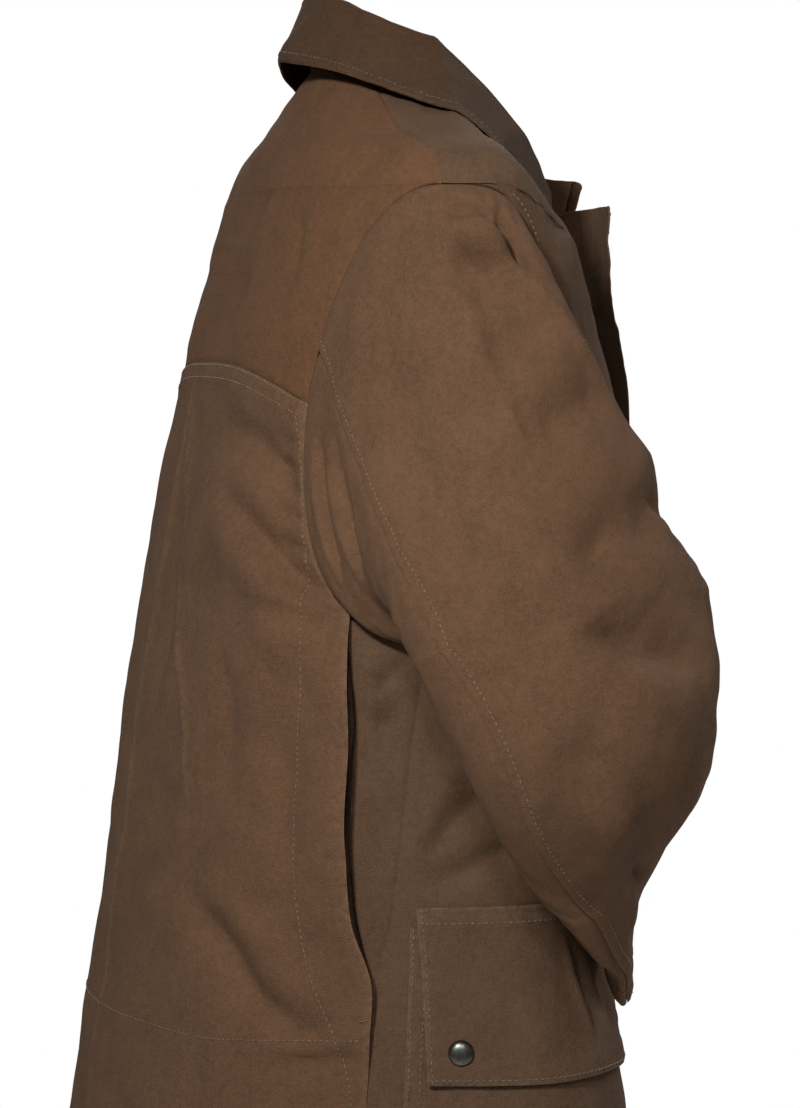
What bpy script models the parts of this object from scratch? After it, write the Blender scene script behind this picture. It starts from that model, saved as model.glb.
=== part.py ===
"""Unlined canvas field jacket, worn form without its wearer, as closed cloth walls."""

import math

import bmesh
import bpy
import numpy as np
from mathutils import Vector

# Cloth and seams, in metres
CLOTH = 0.0015
SEAM_INSET = 0.00025
SLEEVE_INSET = 0.0004
LAYER_GAP = 0.0007

# Body form from hem to neck, one row a level. Angles run from centre back (0)
# round the wearer's right side (90) to centre front (180).
# level, z side, z centre back, z centre front, half width, depth back, depth front,
# squareness, dip
BODY = (
    ("hem", -0.740, -0.740, -0.740, 0.240, 0.217, 0.117, 2.2, 2.0),
    ("seat", -0.620, -0.620, -0.620, 0.236, 0.202, 0.110, 2.15, 2.0),
    ("waist", -0.500, -0.500, -0.500, 0.229, 0.184, 0.100, 2.1, 2.0),
    ("ribs", -0.410, -0.405, -0.412, 0.224, 0.170, 0.106, 2.25, 2.0),
    ("underarm", -0.325, -0.318, -0.330, 0.219, 0.154, 0.116, 2.6, 2.0),
    ("yoke", -0.216, -0.167, -0.222, 0.203, 0.121, 0.115, 3.0, 2.0),
    ("tip", -0.064, -0.062, -0.132, 0.226, 0.094, 0.088, 2.15, 1.4),
    ("shoulder", -0.028, -0.022, -0.106, 0.150, 0.077, 0.084, 2.05, 1.2),
    ("neck", -0.004, 0.014, -0.086, 0.080, 0.054, 0.083, 2.0, 1.05),
)
HEM, UNDERARM, YOKE, TIP, NECK = 0.0, 4.0, 5.0, 6.0, 8.0

# Armhole: middle angle at its foot and its top, and half spans behind and in front
ARMHOLE_FOOT = 80.0
ARMHOLE_TOP = 71.0
ARMHOLE_BACK = 32.5
ARMHOLE_FRONT = 28.0
ARMHOLE_SHARP = 0.5
ARMHOLE_EASE = 1.006

# Shoulder seam angle at the armhole and at the neck
SHOULDER_OUT = 71.0
SHOULDER_IN = 54.0

# Open pleat of the back: level, angle of the free edge, angle of the side seam
PLEAT = (
    ("hem", 0.00, 66.6, 66.6),
    ("foot", 1.55, 68.2, 68.2),
    ("tack", 1.80, 68.2, 68.4),
    ("low", 2.10, 65.4, 70.6),
    ("mid", 2.60, 64.3, 72.6),
    ("high", 3.50, 64.8, 76.6),
    ("top", 4.00, 63.4, 80.0),
)
PLEAT_FOOT = 1.55
PLEAT_TURN = 210.0
PLEAT_STAND = 0.0075
GUSSET_UNDER = 13.0

# Fronts: how far each runs past centre front; level and stand of the left front's free edge
FRONT_LAP = 0.030
LAPEL = (
    (0.0, 0.0060),
    (4.0, 0.0070),
    (5.0, 0.0270),
    (6.0, 0.0430),
    (7.0, 0.0450),
    (8.0, 0.0490),
)
LAPEL_STARTS, LAPEL_WIDENS = 153.0, 11.0
LAPEL_RAISE = 0.012

# Collar: angle at the neck, rise of the fold, fold outward, edge angle, edge level, edge stand
COLLAR = (
    (0.0, 0.046, -0.004, 0.0, 7.80, 0.020),
    (45.0, 0.041, -0.003, 45.0, 7.66, 0.014),
    (90.0, 0.031, -0.001, 89.0, 7.41, 0.006),
    (110.0, 0.028, 0.000, 108.0, 7.36, 0.006),
    (128.0, 0.026, 0.000, 125.0, 7.44, 0.006),
    (150.0, 0.025, 0.001, 147.0, 7.62, 0.007),
    (166.0, 0.020, 0.003, 160.0, 7.60, 0.010),
)
COLLAR_FOLD = 0.0045
COLLAR_BOW = 0.010
COLLAR_LIES = 0.8

# Sleeve rings below the cap: centre x, y, z, half wide, half thin, roll in degrees
SLEEVE = (
    ("bicep", -0.282, -0.018, -0.315, 0.090, 0.048, 0.0),
    ("elbow", -0.303, -0.034, -0.386, 0.073, 0.048, 5.0),
    ("forearm", -0.257, -0.057, -0.440, 0.060, 0.031, 50.0),
    ("wrist", -0.216, -0.0715, -0.480, 0.052, 0.0130, 80.0),
    ("cuff", -0.185, -0.0855, -0.508, 0.049, 0.0085, 84.0),
)
CAP_LEAVE = (-0.90, -0.05, -0.42)
CAP_FULL = 0.130
CAP_LAND = 0.120

# Sleeve seams: ring, turn of the back seam, turn of the front seam
SLEEVE_SEAMS = (
    (0.0, 285.0, 120.0),
    (0.5, 295.0, 126.0),
    (1.0, 306.0, 132.0),
    (2.0, 315.0, 138.0),
    (3.0, 322.0, 140.0),
    (5.0, 328.0, 140.0),
)

# Largest folds of the back: from angle, level, to angle, level, reach in levels, rise
BACK_FOLDS = (
    ("below yoke right", 14.0, 4.52, 38.0, 4.25, 0.22, 0.005),
    ("below yoke left", -34.0, 4.42, -46.0, 4.15, 0.20, 0.003),
    ("foot right", 30.0, 2.00, 52.0, 1.20, 0.28, 0.006),
    ("foot left", -38.0, 1.70, -54.0, 1.00, 0.24, 0.004),
)
FOLD_DEGREES = 33.0

# Largest folds of a sleeve: from turn, ring, to turn, ring, reach in rings, rise
SLEEVE_FOLDS = (
    ("crook", 66.0, 0.70, 108.0, 0.76, 0.20, -0.010),
    ("back of arm", -46.0, 0.60, -28.0, 1.30, 0.22, -0.004),
)
SLEEVE_DEGREES = 64.0

# Pocket and flap: angles and levels of their edges
POCKET_BACK, POCKET_FRONT = 74.2, 151.0
POCKET_FOOT, POCKET_MOUTH = 0.35, 2.10
POCKET_STAND = 0.015
FLAP_BACK, FLAP_FRONT = 75.3, 150.0
FLAP_SLANT = 2.6
FLAP_FOOT, FLAP_ROOT = 1.33, 2.22
SNAP_PLACES = (("back", 82.9, 1.48), ("front", 144.0, 1.48))
SNAP_RADIUS = 0.0075
SNAP_HEIGHT = 0.0032
SNAP_GAP = 0.0006

# Grid counts: steps round the armhole, columns of the back and the yoke, columns of a front
ARM_STEPS = 24
BACK_COLUMNS = 14
FRONT_COLUMNS = 12

CANVAS = (0.141, 0.076, 0.045)
GUNMETAL = (0.060, 0.062, 0.058)
COLLECTION = "canvas_jacket"


def spline(rows, t):
    """Smooth curve through table rows, at row numbers t."""
    rows = np.asarray(rows, float)
    last = len(rows) - 1
    padded = np.vstack([2 * rows[0] - rows[1], rows, 2 * rows[last] - rows[last - 1]])
    t = np.asarray(t, float)
    low = np.clip(np.floor(t).astype(int), 0, last - 1)
    f = (t - low)[..., None]
    p0, p1, p2, p3 = (padded[low + k] for k in range(4))
    cubic = -p0 + 3 * p1 - 3 * p2 + p3
    square = 2 * p0 - 5 * p1 + 4 * p2 - p3
    return p1 + 0.5 * f * ((p2 - p0) + f * (square + f * cubic))


def ease(value, low, high):
    """Zero below low, one above high, smooth between."""
    f = np.clip((np.asarray(value, float) - low) / (high - low), 0.0, 1.0)
    return f * f * (3 - 2 * f)


def unit(vectors):
    return vectors / np.linalg.norm(vectors, axis=-1, keepdims=True)


BODY_ROWS = [row[1:] for row in BODY]


def body_point(angle, level):
    """Point of the body form at an angle and a level."""
    angle, level = np.broadcast_arrays(np.radians(angle), np.asarray(level, float))
    row = spline(BODY_ROWS, level)
    z_side, z_back, z_front, half, back, front, square, dip = np.moveaxis(row, -1, 0)
    sine, cosine = np.sin(angle), np.cos(angle)
    behind = cosine > 0
    x = -half * np.sign(sine) * np.abs(sine) ** (2 / square)
    y = np.where(behind, back, front) * np.sign(cosine) * np.abs(cosine) ** (2 / square)
    fall = np.abs(cosine) ** np.where(behind, 2.0, dip)
    fall = np.where(np.abs(angle) > np.pi, 1.0, fall)
    z = z_side + (np.where(behind, z_back, z_front) - z_side) * fall
    return np.stack([x, y, z], -1)


def body_normal(angle, level):
    """Outward direction of the body form."""
    angle, level = np.broadcast_arrays(np.asarray(angle, float), np.asarray(level, float))
    low, high = np.maximum(level - 0.02, 0.0), np.minimum(level + 0.02, NECK)
    along = body_point(angle + 1.0, level) - body_point(angle - 1.0, level)
    up = body_point(angle, high) - body_point(angle, low)
    return unit(np.cross(along, up))


def armhole(turn, grow=1.0):
    """Angle and level on the body at a turn round the armhole: top 0, front 90, foot 180."""
    sine, cosine = np.sin(np.radians(turn)), np.cos(np.radians(turn))
    power = np.where((sine > 0) & (cosine > 0), ARMHOLE_SHARP, 1.0)
    level = YOKE + grow * np.sign(cosine) * np.abs(cosine) ** power
    middle = ARMHOLE_FOOT + (ARMHOLE_TOP - ARMHOLE_FOOT) * (level - UNDERARM) / 2
    span = np.where(sine > 0, ARMHOLE_FRONT, ARMHOLE_BACK)
    return middle + grow * span * np.sign(sine) * np.abs(sine) ** power, level


def pleat_edge(level):
    return np.interp(level, [row[1] for row in PLEAT], [row[2] for row in PLEAT])


def side_seam(level):
    return np.interp(level, [row[1] for row in PLEAT], [row[3] for row in PLEAT])


def shoulder_seam(level):
    return SHOULDER_OUT + (SHOULDER_IN - SHOULDER_OUT) * (level - TIP) / (NECK - TIP)


def inset_edges(grid, amount):
    """Moves the four edges of a grid inward so that neighbours stay apart."""
    moved = grid.copy()
    moved[0] += unit(grid[1] - grid[0]) * amount
    moved[-1] += unit(grid[-2] - grid[-1]) * amount
    moved[:, 0] += unit(grid[:, 1] - grid[:, 0]) * amount
    moved[:, -1] += unit(grid[:, -2] - grid[:, -1]) * amount
    return moved


def material(name, colour, roughness, metallic):
    made = bpy.data.materials.new(name)
    made.use_nodes = True
    shader = made.node_tree.nodes["Principled BSDF"]
    shader.inputs["Base Color"].default_value = (*colour, 1.0)
    shader.inputs["Roughness"].default_value = roughness
    shader.inputs["Metallic"].default_value = metallic
    return made


def add_object(name, bm, colour, roughness, metallic):
    bmesh.ops.recalc_face_normals(bm, faces=bm.faces)
    mesh = bpy.data.meshes.new(name)
    bm.to_mesh(mesh)
    bm.free()
    made = bpy.data.objects.new(name, mesh)
    mesh.materials.append(material(name + "_finish", colour, roughness, metallic))
    bpy.data.collections[COLLECTION].objects.link(made)
    return made


def cloth(name, outer, inner):
    """Closed wall between a grid of outer points and a grid of inner points."""
    rows, columns = outer.shape[:2]
    bm = bmesh.new()
    skins = [[[bm.verts.new(point) for point in line] for line in skin] for skin in (outer, inner)]
    for r in range(rows - 1):
        for c in range(columns - 1):
            for skin in skins:
                corners = (skin[r][c], skin[r][c + 1], skin[r + 1][c + 1], skin[r + 1][c])
                bm.faces.new(corners)
    rim = [(0, c) for c in range(columns)]
    rim += [(r, columns - 1) for r in range(1, rows)]
    rim += [(rows - 1, c) for c in range(columns - 2, -1, -1)]
    rim += [(r, 0) for r in range(rows - 2, 0, -1)]
    for here, there in zip(rim, rim[1:] + rim[:1]):
        corners = [skins[0][here[0]][here[1]], skins[0][there[0]][there[1]]]
        corners += [skins[1][there[0]][there[1]], skins[1][here[0]][here[1]]]
        bm.faces.new(corners)
    return add_object(name, bm, CANVAS, 0.85, 0.0)


def seam_normal(turn, own):
    """Shared cut of the body and the sleeve round the armhole where their walls would meet."""
    body, arm = body_normal(*armhole(turn)), sleeve_normal(turn, np.zeros(len(turn)))
    middle = unit(body + arm)
    shared = middle / np.sum(middle * body, -1, keepdims=True)
    return own + (shared - own) * ease(np.sum(body * arm, -1, keepdims=True), 0.0, 0.5)


def body_cloth(angle, level, lift=0.0, armhole_edges=()):
    """Panel of the body on its form, moved out by a lift; returns its two skins."""
    normal = body_normal(angle, level)
    outer = body_point(angle, level) + normal * np.asarray(lift)[..., None]
    outer = inset_edges(outer, SEAM_INSET)
    for rows, column, turns, side in armhole_edges:
        flip = np.array([side, 1.0, 1.0])
        normal[rows, column] = seam_normal(turns, normal[rows, column] * flip) * flip
    return outer, outer - normal * CLOTH


def mirrored(skins):
    """The same two skins on the other side of the body."""
    return tuple((skin * (-1.0, 1.0, 1.0))[:, ::-1] for skin in skins)


def arm_turns(first, last):
    """Turns of the armhole grid between two turns, in its own even steps."""
    step = 360.0 / ARM_STEPS
    return np.arange(first, last + step / 2, step)


def rows_between(low, high, count):
    return np.linspace(low, high, count + 1)


def fold_lift(folds, across, along, degrees):
    """Rise of soft folds; degrees is the angle that measures one step along."""
    lift = np.zeros(np.broadcast(across, along).shape)
    for _, angle, level, to_angle, to_level, reach, rise in folds:
        run_x, run_y = (to_angle - angle) / degrees, to_level - level
        off_x, off_y = (across - angle) / degrees, along - level
        f = np.clip((off_x * run_x + off_y * run_y) / (run_x ** 2 + run_y ** 2), 0.0, 1.0)
        gap = (off_x - f * run_x) ** 2 + (off_y - f * run_y) ** 2
        lift = lift + rise * np.exp(-gap / reach ** 2)
    return lift


def lay_out(levels, left, right, columns):
    """Angle and level grids between two side edges, in even columns."""
    share = np.linspace(0.0, 1.0, columns + 1)
    left, right = np.asarray(left, float)[:, None], np.asarray(right, float)[:, None]
    return left + (right - left) * share, np.repeat(np.asarray(levels)[:, None], columns + 1, 1)


def back_lift(angle, level):
    """How far the back stands off the body form along the free edge of its pleat."""
    edge = pleat_edge(np.minimum(level, UNDERARM))
    near = ease(np.abs(angle), edge - GUSSET_UNDER - 18.0, edge - GUSSET_UNDER - 3.0)
    proud = ease(np.abs(angle), edge - GUSSET_UNDER, edge)
    inside = ease(level, PLEAT_FOOT - 0.22, PLEAT_FOOT - 0.03) * (1 - ease(level, 4.14, 4.29))
    open_part = ease(level, PLEAT_FOOT, PLEAT_FOOT + 0.6) * (1 - ease(level, 3.4, 4.2))
    return inside * near * (CLOTH + 3 * LAYER_GAP) + open_part * proud * PLEAT_STAND


def make_back():
    low = rows_between(HEM, PLEAT_FOOT, 4)
    middle = rows_between(PLEAT_FOOT, armhole(PLEAT_TURN)[1], 8)[1:-1]
    turns = arm_turns(PLEAT_TURN, 270.0)
    plain = np.concatenate([low, middle])
    levels = np.concatenate([plain, armhole(turns, ARMHOLE_EASE)[1]])
    levels[-1] = YOKE
    edge = np.concatenate([pleat_edge(plain), armhole(turns, ARMHOLE_EASE)[0]])
    angle, level = lay_out(levels, -edge, edge, BACK_COLUMNS)
    rows = slice(len(plain), len(levels))
    edges = [(rows, 0, turns, -1.0), (rows, -1, turns, 1.0)]
    lift = back_lift(angle, level) + fold_lift(BACK_FOLDS, angle, level, FOLD_DEGREES)
    cloth("back_panel", *body_cloth(angle, level, lift, edges))


def yoke_grid():
    """Angles and levels of the yoke's points, and the armhole turns of its first rows."""
    turns = arm_turns(270.0, 360.0)
    upper = rows_between(TIP, NECK, 5)[1:]
    levels = np.concatenate([armhole(turns, ARMHOLE_EASE)[1], upper])
    levels[0] = YOKE
    edge = np.concatenate([armhole(turns, ARMHOLE_EASE)[0], shoulder_seam(upper)])
    return (*lay_out(levels, -edge, edge, BACK_COLUMNS), turns)


def make_yoke():
    angle, level, turns = yoke_grid()
    rows = slice(0, len(turns))
    edges = [(rows, 0, turns, -1.0), (rows, -1, turns, 1.0)]
    cloth("back_yoke", *body_cloth(angle, level, 0.0, edges))


def make_gussets():
    levels = rows_between(PLEAT_FOOT, UNDERARM, 7)
    seam = side_seam(levels)
    hidden = pleat_edge(levels) - GUSSET_UNDER
    angle, level = lay_out(levels, hidden, seam, 5)
    top = ease(np.linspace(0, 1, 6), 0.0, 1.0)
    reach = (UNDERARM + 0.16 * (1 - top) - PLEAT_FOOT) / (UNDERARM - PLEAT_FOOT)
    level = PLEAT_FOOT + (level - PLEAT_FOOT) * reach - 0.004
    skins = body_cloth(angle, level)
    cloth("gusset_right", *skins)
    cloth("gusset_left", *mirrored(skins))


def front_edge(level):
    """Angle of a front's free edge, a set distance past centre front."""
    row = spline(BODY_ROWS, level)
    return 180.0 + np.degrees(np.arcsin((FRONT_LAP / row[..., 3]) ** (row[..., 6] / 2)))


def lapel_move(angle, level):
    """How the left front's free edge stands forward of the form and up at the neck."""
    free = ease(np.abs(angle), LAPEL_STARTS - LAPEL_WIDENS * ease(level, 2.4, 4.0), 180.0)
    stand = np.interp(level, [row[0] for row in LAPEL], [row[1] for row in LAPEL]) * free
    rise = free * ease(level, 6.4, 8.0) * LAPEL_RAISE
    return np.stack([0 * stand, -stand, rise], -1)


def front_grid():
    """Angles and levels of a front's points, the armhole turns and the row they start at."""
    open_side = rows_between(PLEAT_FOOT, UNDERARM, 7)
    low = np.concatenate([rows_between(HEM, PLEAT_FOOT, 4), open_side[1:-1]])
    turns = arm_turns(0.0, 180.0)[::-1]
    upper = rows_between(TIP, NECK, 5)[1:]
    levels = np.concatenate([low, armhole(turns, ARMHOLE_EASE)[1], upper])
    edge = np.concatenate([side_seam(low), armhole(turns, ARMHOLE_EASE)[0], shoulder_seam(upper)])
    return (*lay_out(levels, edge, front_edge(levels), FRONT_COLUMNS), turns, len(low))


def front_skins(free):
    """One front, laid out as the wearer's right one; a free front has its edge stood off."""
    angle, level, turns, first = front_grid()
    skins = body_cloth(angle, level, 0.0, [(slice(first, first + len(turns)), 0, turns, 1.0)])
    moved = lapel_move(angle, level) if free else 0.0
    return tuple(skin + moved for skin in skins)


def make_fronts():
    cloth("front_right", *front_skins(False))
    cloth("front_left", *mirrored(front_skins(True)))


def sleeve_frame(ring):
    """Centre, wide direction, thin direction and half sizes of a sleeve ring."""
    rows = [row[1:] for row in SLEEVE]
    row = spline(rows, ring)
    ahead = spline(rows, np.asarray(ring) + 0.02) - spline(rows, np.asarray(ring) - 0.02)
    along = unit(ahead[..., :3])
    forward = np.array([0.0, -1.0, 0.0])
    fore = unit(forward - (along @ forward)[..., None] * along)
    out = np.cross(along, fore)
    roll = np.radians(row[..., 5])[..., None]
    wide = fore * np.cos(roll) - out * np.sin(roll)
    thin = out * np.cos(roll) + fore * np.sin(roll)
    return row[..., :3], wide, thin, row[..., 3:4], row[..., 4:5], along


def sleeve_point(turn, ring):
    """Point of the right sleeve: ring 0 is the armhole, ring 1 the bicep, on to the cuff."""
    turn, ring = np.broadcast_arrays(np.asarray(turn, float), np.asarray(ring, float))
    tube = np.maximum(ring - 1.0, 0.0)
    centre, wide, thin, half_wide, half_thin, along = sleeve_frame(tube)
    sine, cosine = np.sin(np.radians(turn))[..., None], np.cos(np.radians(turn))[..., None]
    point = centre + wide * half_wide * sine + thin * half_thin * cosine
    out = unit(wide * half_thin * sine + thin * half_wide * cosine)
    point = point + out * fold_lift(SLEEVE_FOLDS, turn, ring, SLEEVE_DEGREES)[..., None]
    start = body_point(*armhole(turn))
    f = np.minimum(ring, 1.0)[..., None]
    leave = unit(np.array(CAP_LEAVE)) * CAP_FULL
    cap = (2 * f ** 3 - 3 * f ** 2 + 1) * start + (f ** 3 - 2 * f ** 2 + f) * leave
    cap = cap + (3 * f ** 2 - 2 * f ** 3) * point + (f ** 3 - f ** 2) * along * CAP_LAND
    return np.where(ring[..., None] < 1.0, cap, point)


def sleeve_normal(turn, ring):
    low, high = np.maximum(ring - 0.03, 0.0), np.minimum(ring + 0.03, 5.0)
    down = sleeve_point(turn, high) - sleeve_point(turn, low)
    around = sleeve_point(turn + 2.0, ring) - sleeve_point(turn - 2.0, ring)
    return unit(np.cross(down, around))


def sleeve_skins(first, last, cells):
    """Skins of one sleeve piece between two seams, from cuff up to armhole."""
    rings = np.concatenate([np.linspace(5.0, 1.0, 15), np.linspace(1.0, 0.0, 6)[1:]])
    seams = np.array(SLEEVE_SEAMS)
    left = np.interp(rings, seams[:, 0], seams[:, first]) - (360.0 if first < last else 0.0)
    right = np.interp(rings, seams[:, 0], seams[:, last])
    turn, ring = lay_out(rings, left, right, cells)
    normal = sleeve_normal(turn, ring)
    outer = inset_edges(sleeve_point(turn, ring), SLEEVE_INSET)
    normal[-1] = seam_normal(turn[-1], normal[-1])
    return outer, outer - normal * CLOTH


def make_sleeves():
    for name, first, last, cells in (("upper", 1, 2, 13), ("under", 2, 1, 11)):
        skins = sleeve_skins(first, last, cells)
        cloth("sleeve_right_" + name, *skins)
        cloth("sleeve_left_" + name, *mirrored(skins))


def collar_line(angle, row):
    """Points over one section of the collar: up the stand, over the fold, down the fall."""
    rise, fold_out, edge_angle, edge_level, edge_stand = row
    base = body_point(angle, NECK)
    out = unit(base * (1.0, 1.0, 0.0))
    carried = lapel_move(angle, np.array(NECK)) * (angle < 0)
    up = np.array([0.0, 0.0, 1.0])
    foot = base + up * 0.0008 - out * 0.0003
    crest = base + up * rise + out * fold_out
    edge = body_point(edge_angle, edge_level) + body_normal(edge_angle, edge_level) * edge_stand
    points = [foot + (crest - up * COLLAR_FOLD - foot) * f for f in (0.0, 0.35, 0.7, 1.0)]
    middle = crest - up * COLLAR_FOLD + out * COLLAR_FOLD
    for turn in (135.0, 90.0, 45.0):
        around = math.radians(turn)
        points.append(middle + (out * math.cos(around) + up * math.sin(around)) * COLLAR_FOLD)
    start = middle + out * COLLAR_FOLD
    for f in (0.0, 0.2, 0.4, 0.6, 0.8, 1.0):
        level = NECK + (edge_level - NECK) * f
        around = angle + (edge_angle - angle) * f
        stand = edge_stand + COLLAR_BOW * (1 - f)
        lying = body_point(around, level) + body_normal(around, level) * stand
        hanging = start + (edge - start) * f
        points.append(hanging + (lying - hanging) * ease(f, 0.0, COLLAR_LIES))
    return [point + carried for point in points]


def neck_angles(end):
    """Angles of the panels' points along the neckline, so the collar shares them."""
    middle = yoke_grid()[0][-1]
    right = front_grid()[0][-1][1:]
    right = np.append(right[right < end - 3.0], end)
    return np.concatenate([-right[::-1], middle, right])


def make_collar():
    table = np.array(COLLAR)
    lines = []
    for angle in neck_angles(table[-1, 0]):
        place = np.interp(abs(angle), table[:, 0], np.arange(len(table)))
        row = spline(table, place)[1:]
        row[2] = math.copysign(row[2], angle)
        lines.append(collar_line(angle, row))
    outer = np.array(lines)
    along = np.gradient(outer, axis=0)
    across = np.gradient(outer, axis=1)
    normal = unit(np.cross(across, along))
    cloth("collar", outer, outer - normal * CLOTH)


def pocket_lift(angle, level):
    """How far the pocket's front stands off the front panel."""
    u = np.clip((angle - POCKET_BACK) / (POCKET_FRONT - POCKET_BACK), 0.0, 1.0)
    v = np.clip((level - POCKET_FOOT) / (POCKET_MOUTH - POCKET_FOOT), 0.0, 1.0)
    full = ease(u, 0.0, 0.35) * (1 - ease(u, 0.65, 1.0))
    full = full * ease(v, 0.0, 0.3) * (1 - ease(v, 0.5, 1.0))
    return LAYER_GAP + CLOTH + POCKET_STAND * full


def flap_lift(angle, level):
    """How far the flap stands off the front panel: on the pocket, down to the panel at its root."""
    over = 1 - ease(level, POCKET_MOUTH + 0.01, POCKET_MOUTH + 0.09)
    return LAYER_GAP + CLOTH + over * (pocket_lift(angle, level) + LAYER_GAP)


def flap_point(angle, level):
    """Point of the flap's face."""
    return body_point(angle, level) + body_normal(angle, level) * flap_lift(angle, level)[..., None]


def make_pockets():
    levels = rows_between(POCKET_FOOT, POCKET_MOUTH, 9)
    back, front = np.full(10, POCKET_BACK), np.full(10, POCKET_FRONT)
    angle, level = lay_out(levels, back, front, 12)
    skins = body_cloth(angle, level, pocket_lift(angle, level))
    cloth("pocket_right", *skins)
    cloth("pocket_left", *mirrored(skins))
    levels = rows_between(FLAP_FOOT, FLAP_ROOT, 7)
    back = np.linspace(FLAP_BACK + FLAP_SLANT, FLAP_BACK, 8)
    angle, level = lay_out(levels, back, np.full(8, FLAP_FRONT), 12)
    skins = body_cloth(angle, level, flap_lift(angle, level))
    cloth("flap_right", *skins)
    cloth("flap_left", *mirrored(skins))


def make_snaps():
    for name, angle, level in SNAP_PLACES:
        across = flap_point(angle + 2.0, level) - flap_point(angle - 2.0, level)
        upward = flap_point(angle, level + 0.06) - flap_point(angle, level - 0.06)
        face = unit(np.cross(across, upward))
        for side, sign in (("right", 1.0), ("left", -1.0)):
            normal = face * (sign, 1.0, 1.0)
            place = flap_point(angle, level) * (sign, 1.0, 1.0)
            place = place + normal * (SNAP_GAP + SNAP_HEIGHT / 2)
            bm = bmesh.new()
            bmesh.ops.create_cone(bm, cap_ends=True, segments=14, radius1=SNAP_RADIUS,
                                  radius2=SNAP_RADIUS, depth=SNAP_HEIGHT)
            rim = [e for e in bm.edges if all(v.co.z > 0 for v in e.verts)]
            bmesh.ops.bevel(bm, geom=rim, offset=SNAP_HEIGHT * 0.8, segments=2,
                            profile=0.5, affect="EDGES")
            turn = Vector(normal).to_track_quat("Z", "Y").to_matrix()
            bmesh.ops.rotate(bm, verts=bm.verts, matrix=turn)
            bmesh.ops.translate(bm, verts=bm.verts, vec=Vector(place))
            add_object(f"snap_{side}_{name}", bm, GUNMETAL, 0.35, 1.0)


def main():
    for old in list(bpy.data.objects):
        bpy.data.objects.remove(old)
    collection = bpy.data.collections.new(COLLECTION)
    bpy.context.scene.collection.children.link(collection)
    make_back()
    make_yoke()
    make_gussets()
    make_fronts()
    make_sleeves()
    make_collar()
    make_pockets()
    make_snaps()


main()
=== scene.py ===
import math

import bpy
import numpy as np
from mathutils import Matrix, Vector


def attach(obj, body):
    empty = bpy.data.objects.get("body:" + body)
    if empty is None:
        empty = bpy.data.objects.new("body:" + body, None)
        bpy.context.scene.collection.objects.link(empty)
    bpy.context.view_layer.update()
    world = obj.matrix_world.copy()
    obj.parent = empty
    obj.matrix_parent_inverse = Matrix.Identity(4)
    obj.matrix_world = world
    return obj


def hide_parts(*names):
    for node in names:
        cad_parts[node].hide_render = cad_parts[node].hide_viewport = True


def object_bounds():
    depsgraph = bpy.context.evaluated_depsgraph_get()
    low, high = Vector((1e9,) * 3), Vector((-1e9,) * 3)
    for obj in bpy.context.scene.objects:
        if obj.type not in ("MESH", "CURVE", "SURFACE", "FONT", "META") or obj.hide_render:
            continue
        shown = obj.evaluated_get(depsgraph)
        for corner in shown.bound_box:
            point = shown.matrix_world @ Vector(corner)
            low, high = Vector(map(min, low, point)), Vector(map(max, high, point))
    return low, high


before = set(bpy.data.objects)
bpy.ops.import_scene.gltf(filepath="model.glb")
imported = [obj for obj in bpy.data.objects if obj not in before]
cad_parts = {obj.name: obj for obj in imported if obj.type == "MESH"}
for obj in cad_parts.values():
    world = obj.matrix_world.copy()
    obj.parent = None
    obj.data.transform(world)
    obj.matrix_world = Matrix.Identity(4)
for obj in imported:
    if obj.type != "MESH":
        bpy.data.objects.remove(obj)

CAD_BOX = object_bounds()

# Cloth as it shows, in metres
CLOTH = 0.0015
LAYER_GAP = 0.0007
CLOTH_SHOWS = 0.0012
DOUBLE_CLOTH = 0.0019

# Body form from hem to neck, one row a level. Angles run from centre back (0) round the right
# side (90) to centre front (180). Columns: level, z side, z centre back, z centre front,
# half width, depth back, depth front, squareness, dip.
BODY = (
    ("hem", -0.740, -0.740, -0.740, 0.240, 0.217, 0.117, 2.2, 2.0),
    ("seat", -0.620, -0.620, -0.620, 0.236, 0.202, 0.110, 2.15, 2.0),
    ("waist", -0.500, -0.500, -0.500, 0.229, 0.184, 0.100, 2.1, 2.0),
    ("ribs", -0.410, -0.405, -0.412, 0.224, 0.170, 0.106, 2.25, 2.0),
    ("underarm", -0.325, -0.318, -0.330, 0.219, 0.154, 0.116, 2.6, 2.0),
    ("yoke", -0.216, -0.167, -0.222, 0.203, 0.121, 0.115, 3.0, 2.0),
    ("tip", -0.064, -0.062, -0.132, 0.226, 0.094, 0.088, 2.15, 1.4),
    ("shoulder", -0.028, -0.022, -0.106, 0.150, 0.077, 0.084, 2.05, 1.2),
    ("neck", -0.004, 0.014, -0.086, 0.080, 0.054, 0.083, 2.0, 1.05),
)
HEM, UNDERARM, YOKE, TIP, NECK = 0.0, 4.0, 5.0, 6.0, 8.0
CENTRE_FRONT = 180.0

# Armhole: middle angle at its foot and its top, and half spans behind and in front
ARMHOLE_FOOT = 80.0
ARMHOLE_TOP = 71.0
ARMHOLE_BACK = 32.5
ARMHOLE_FRONT = 28.0
ARMHOLE_SHARP = 0.5

# Shoulder seam angle at the armhole and at the neck
SHOULDER_OUT = 71.0
SHOULDER_IN = 54.0

# Open pleat of the back: level, angle of the free edge, angle of the side seam
PLEAT = (
    (0.00, 66.6, 66.6),
    (1.55, 68.2, 68.2),
    (1.80, 68.2, 68.4),
    (2.10, 65.0, 70.6),
    (2.60, 63.6, 72.6),
    (3.50, 64.2, 76.6),
    (4.00, 63.4, 80.0),
)
PLEAT_FOOT = 1.55
PLEAT_TURN, YOKE_TURN, TIP_TURN = 210.0, 270.0, 360.0
PLEAT_STAND = 0.0105
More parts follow.
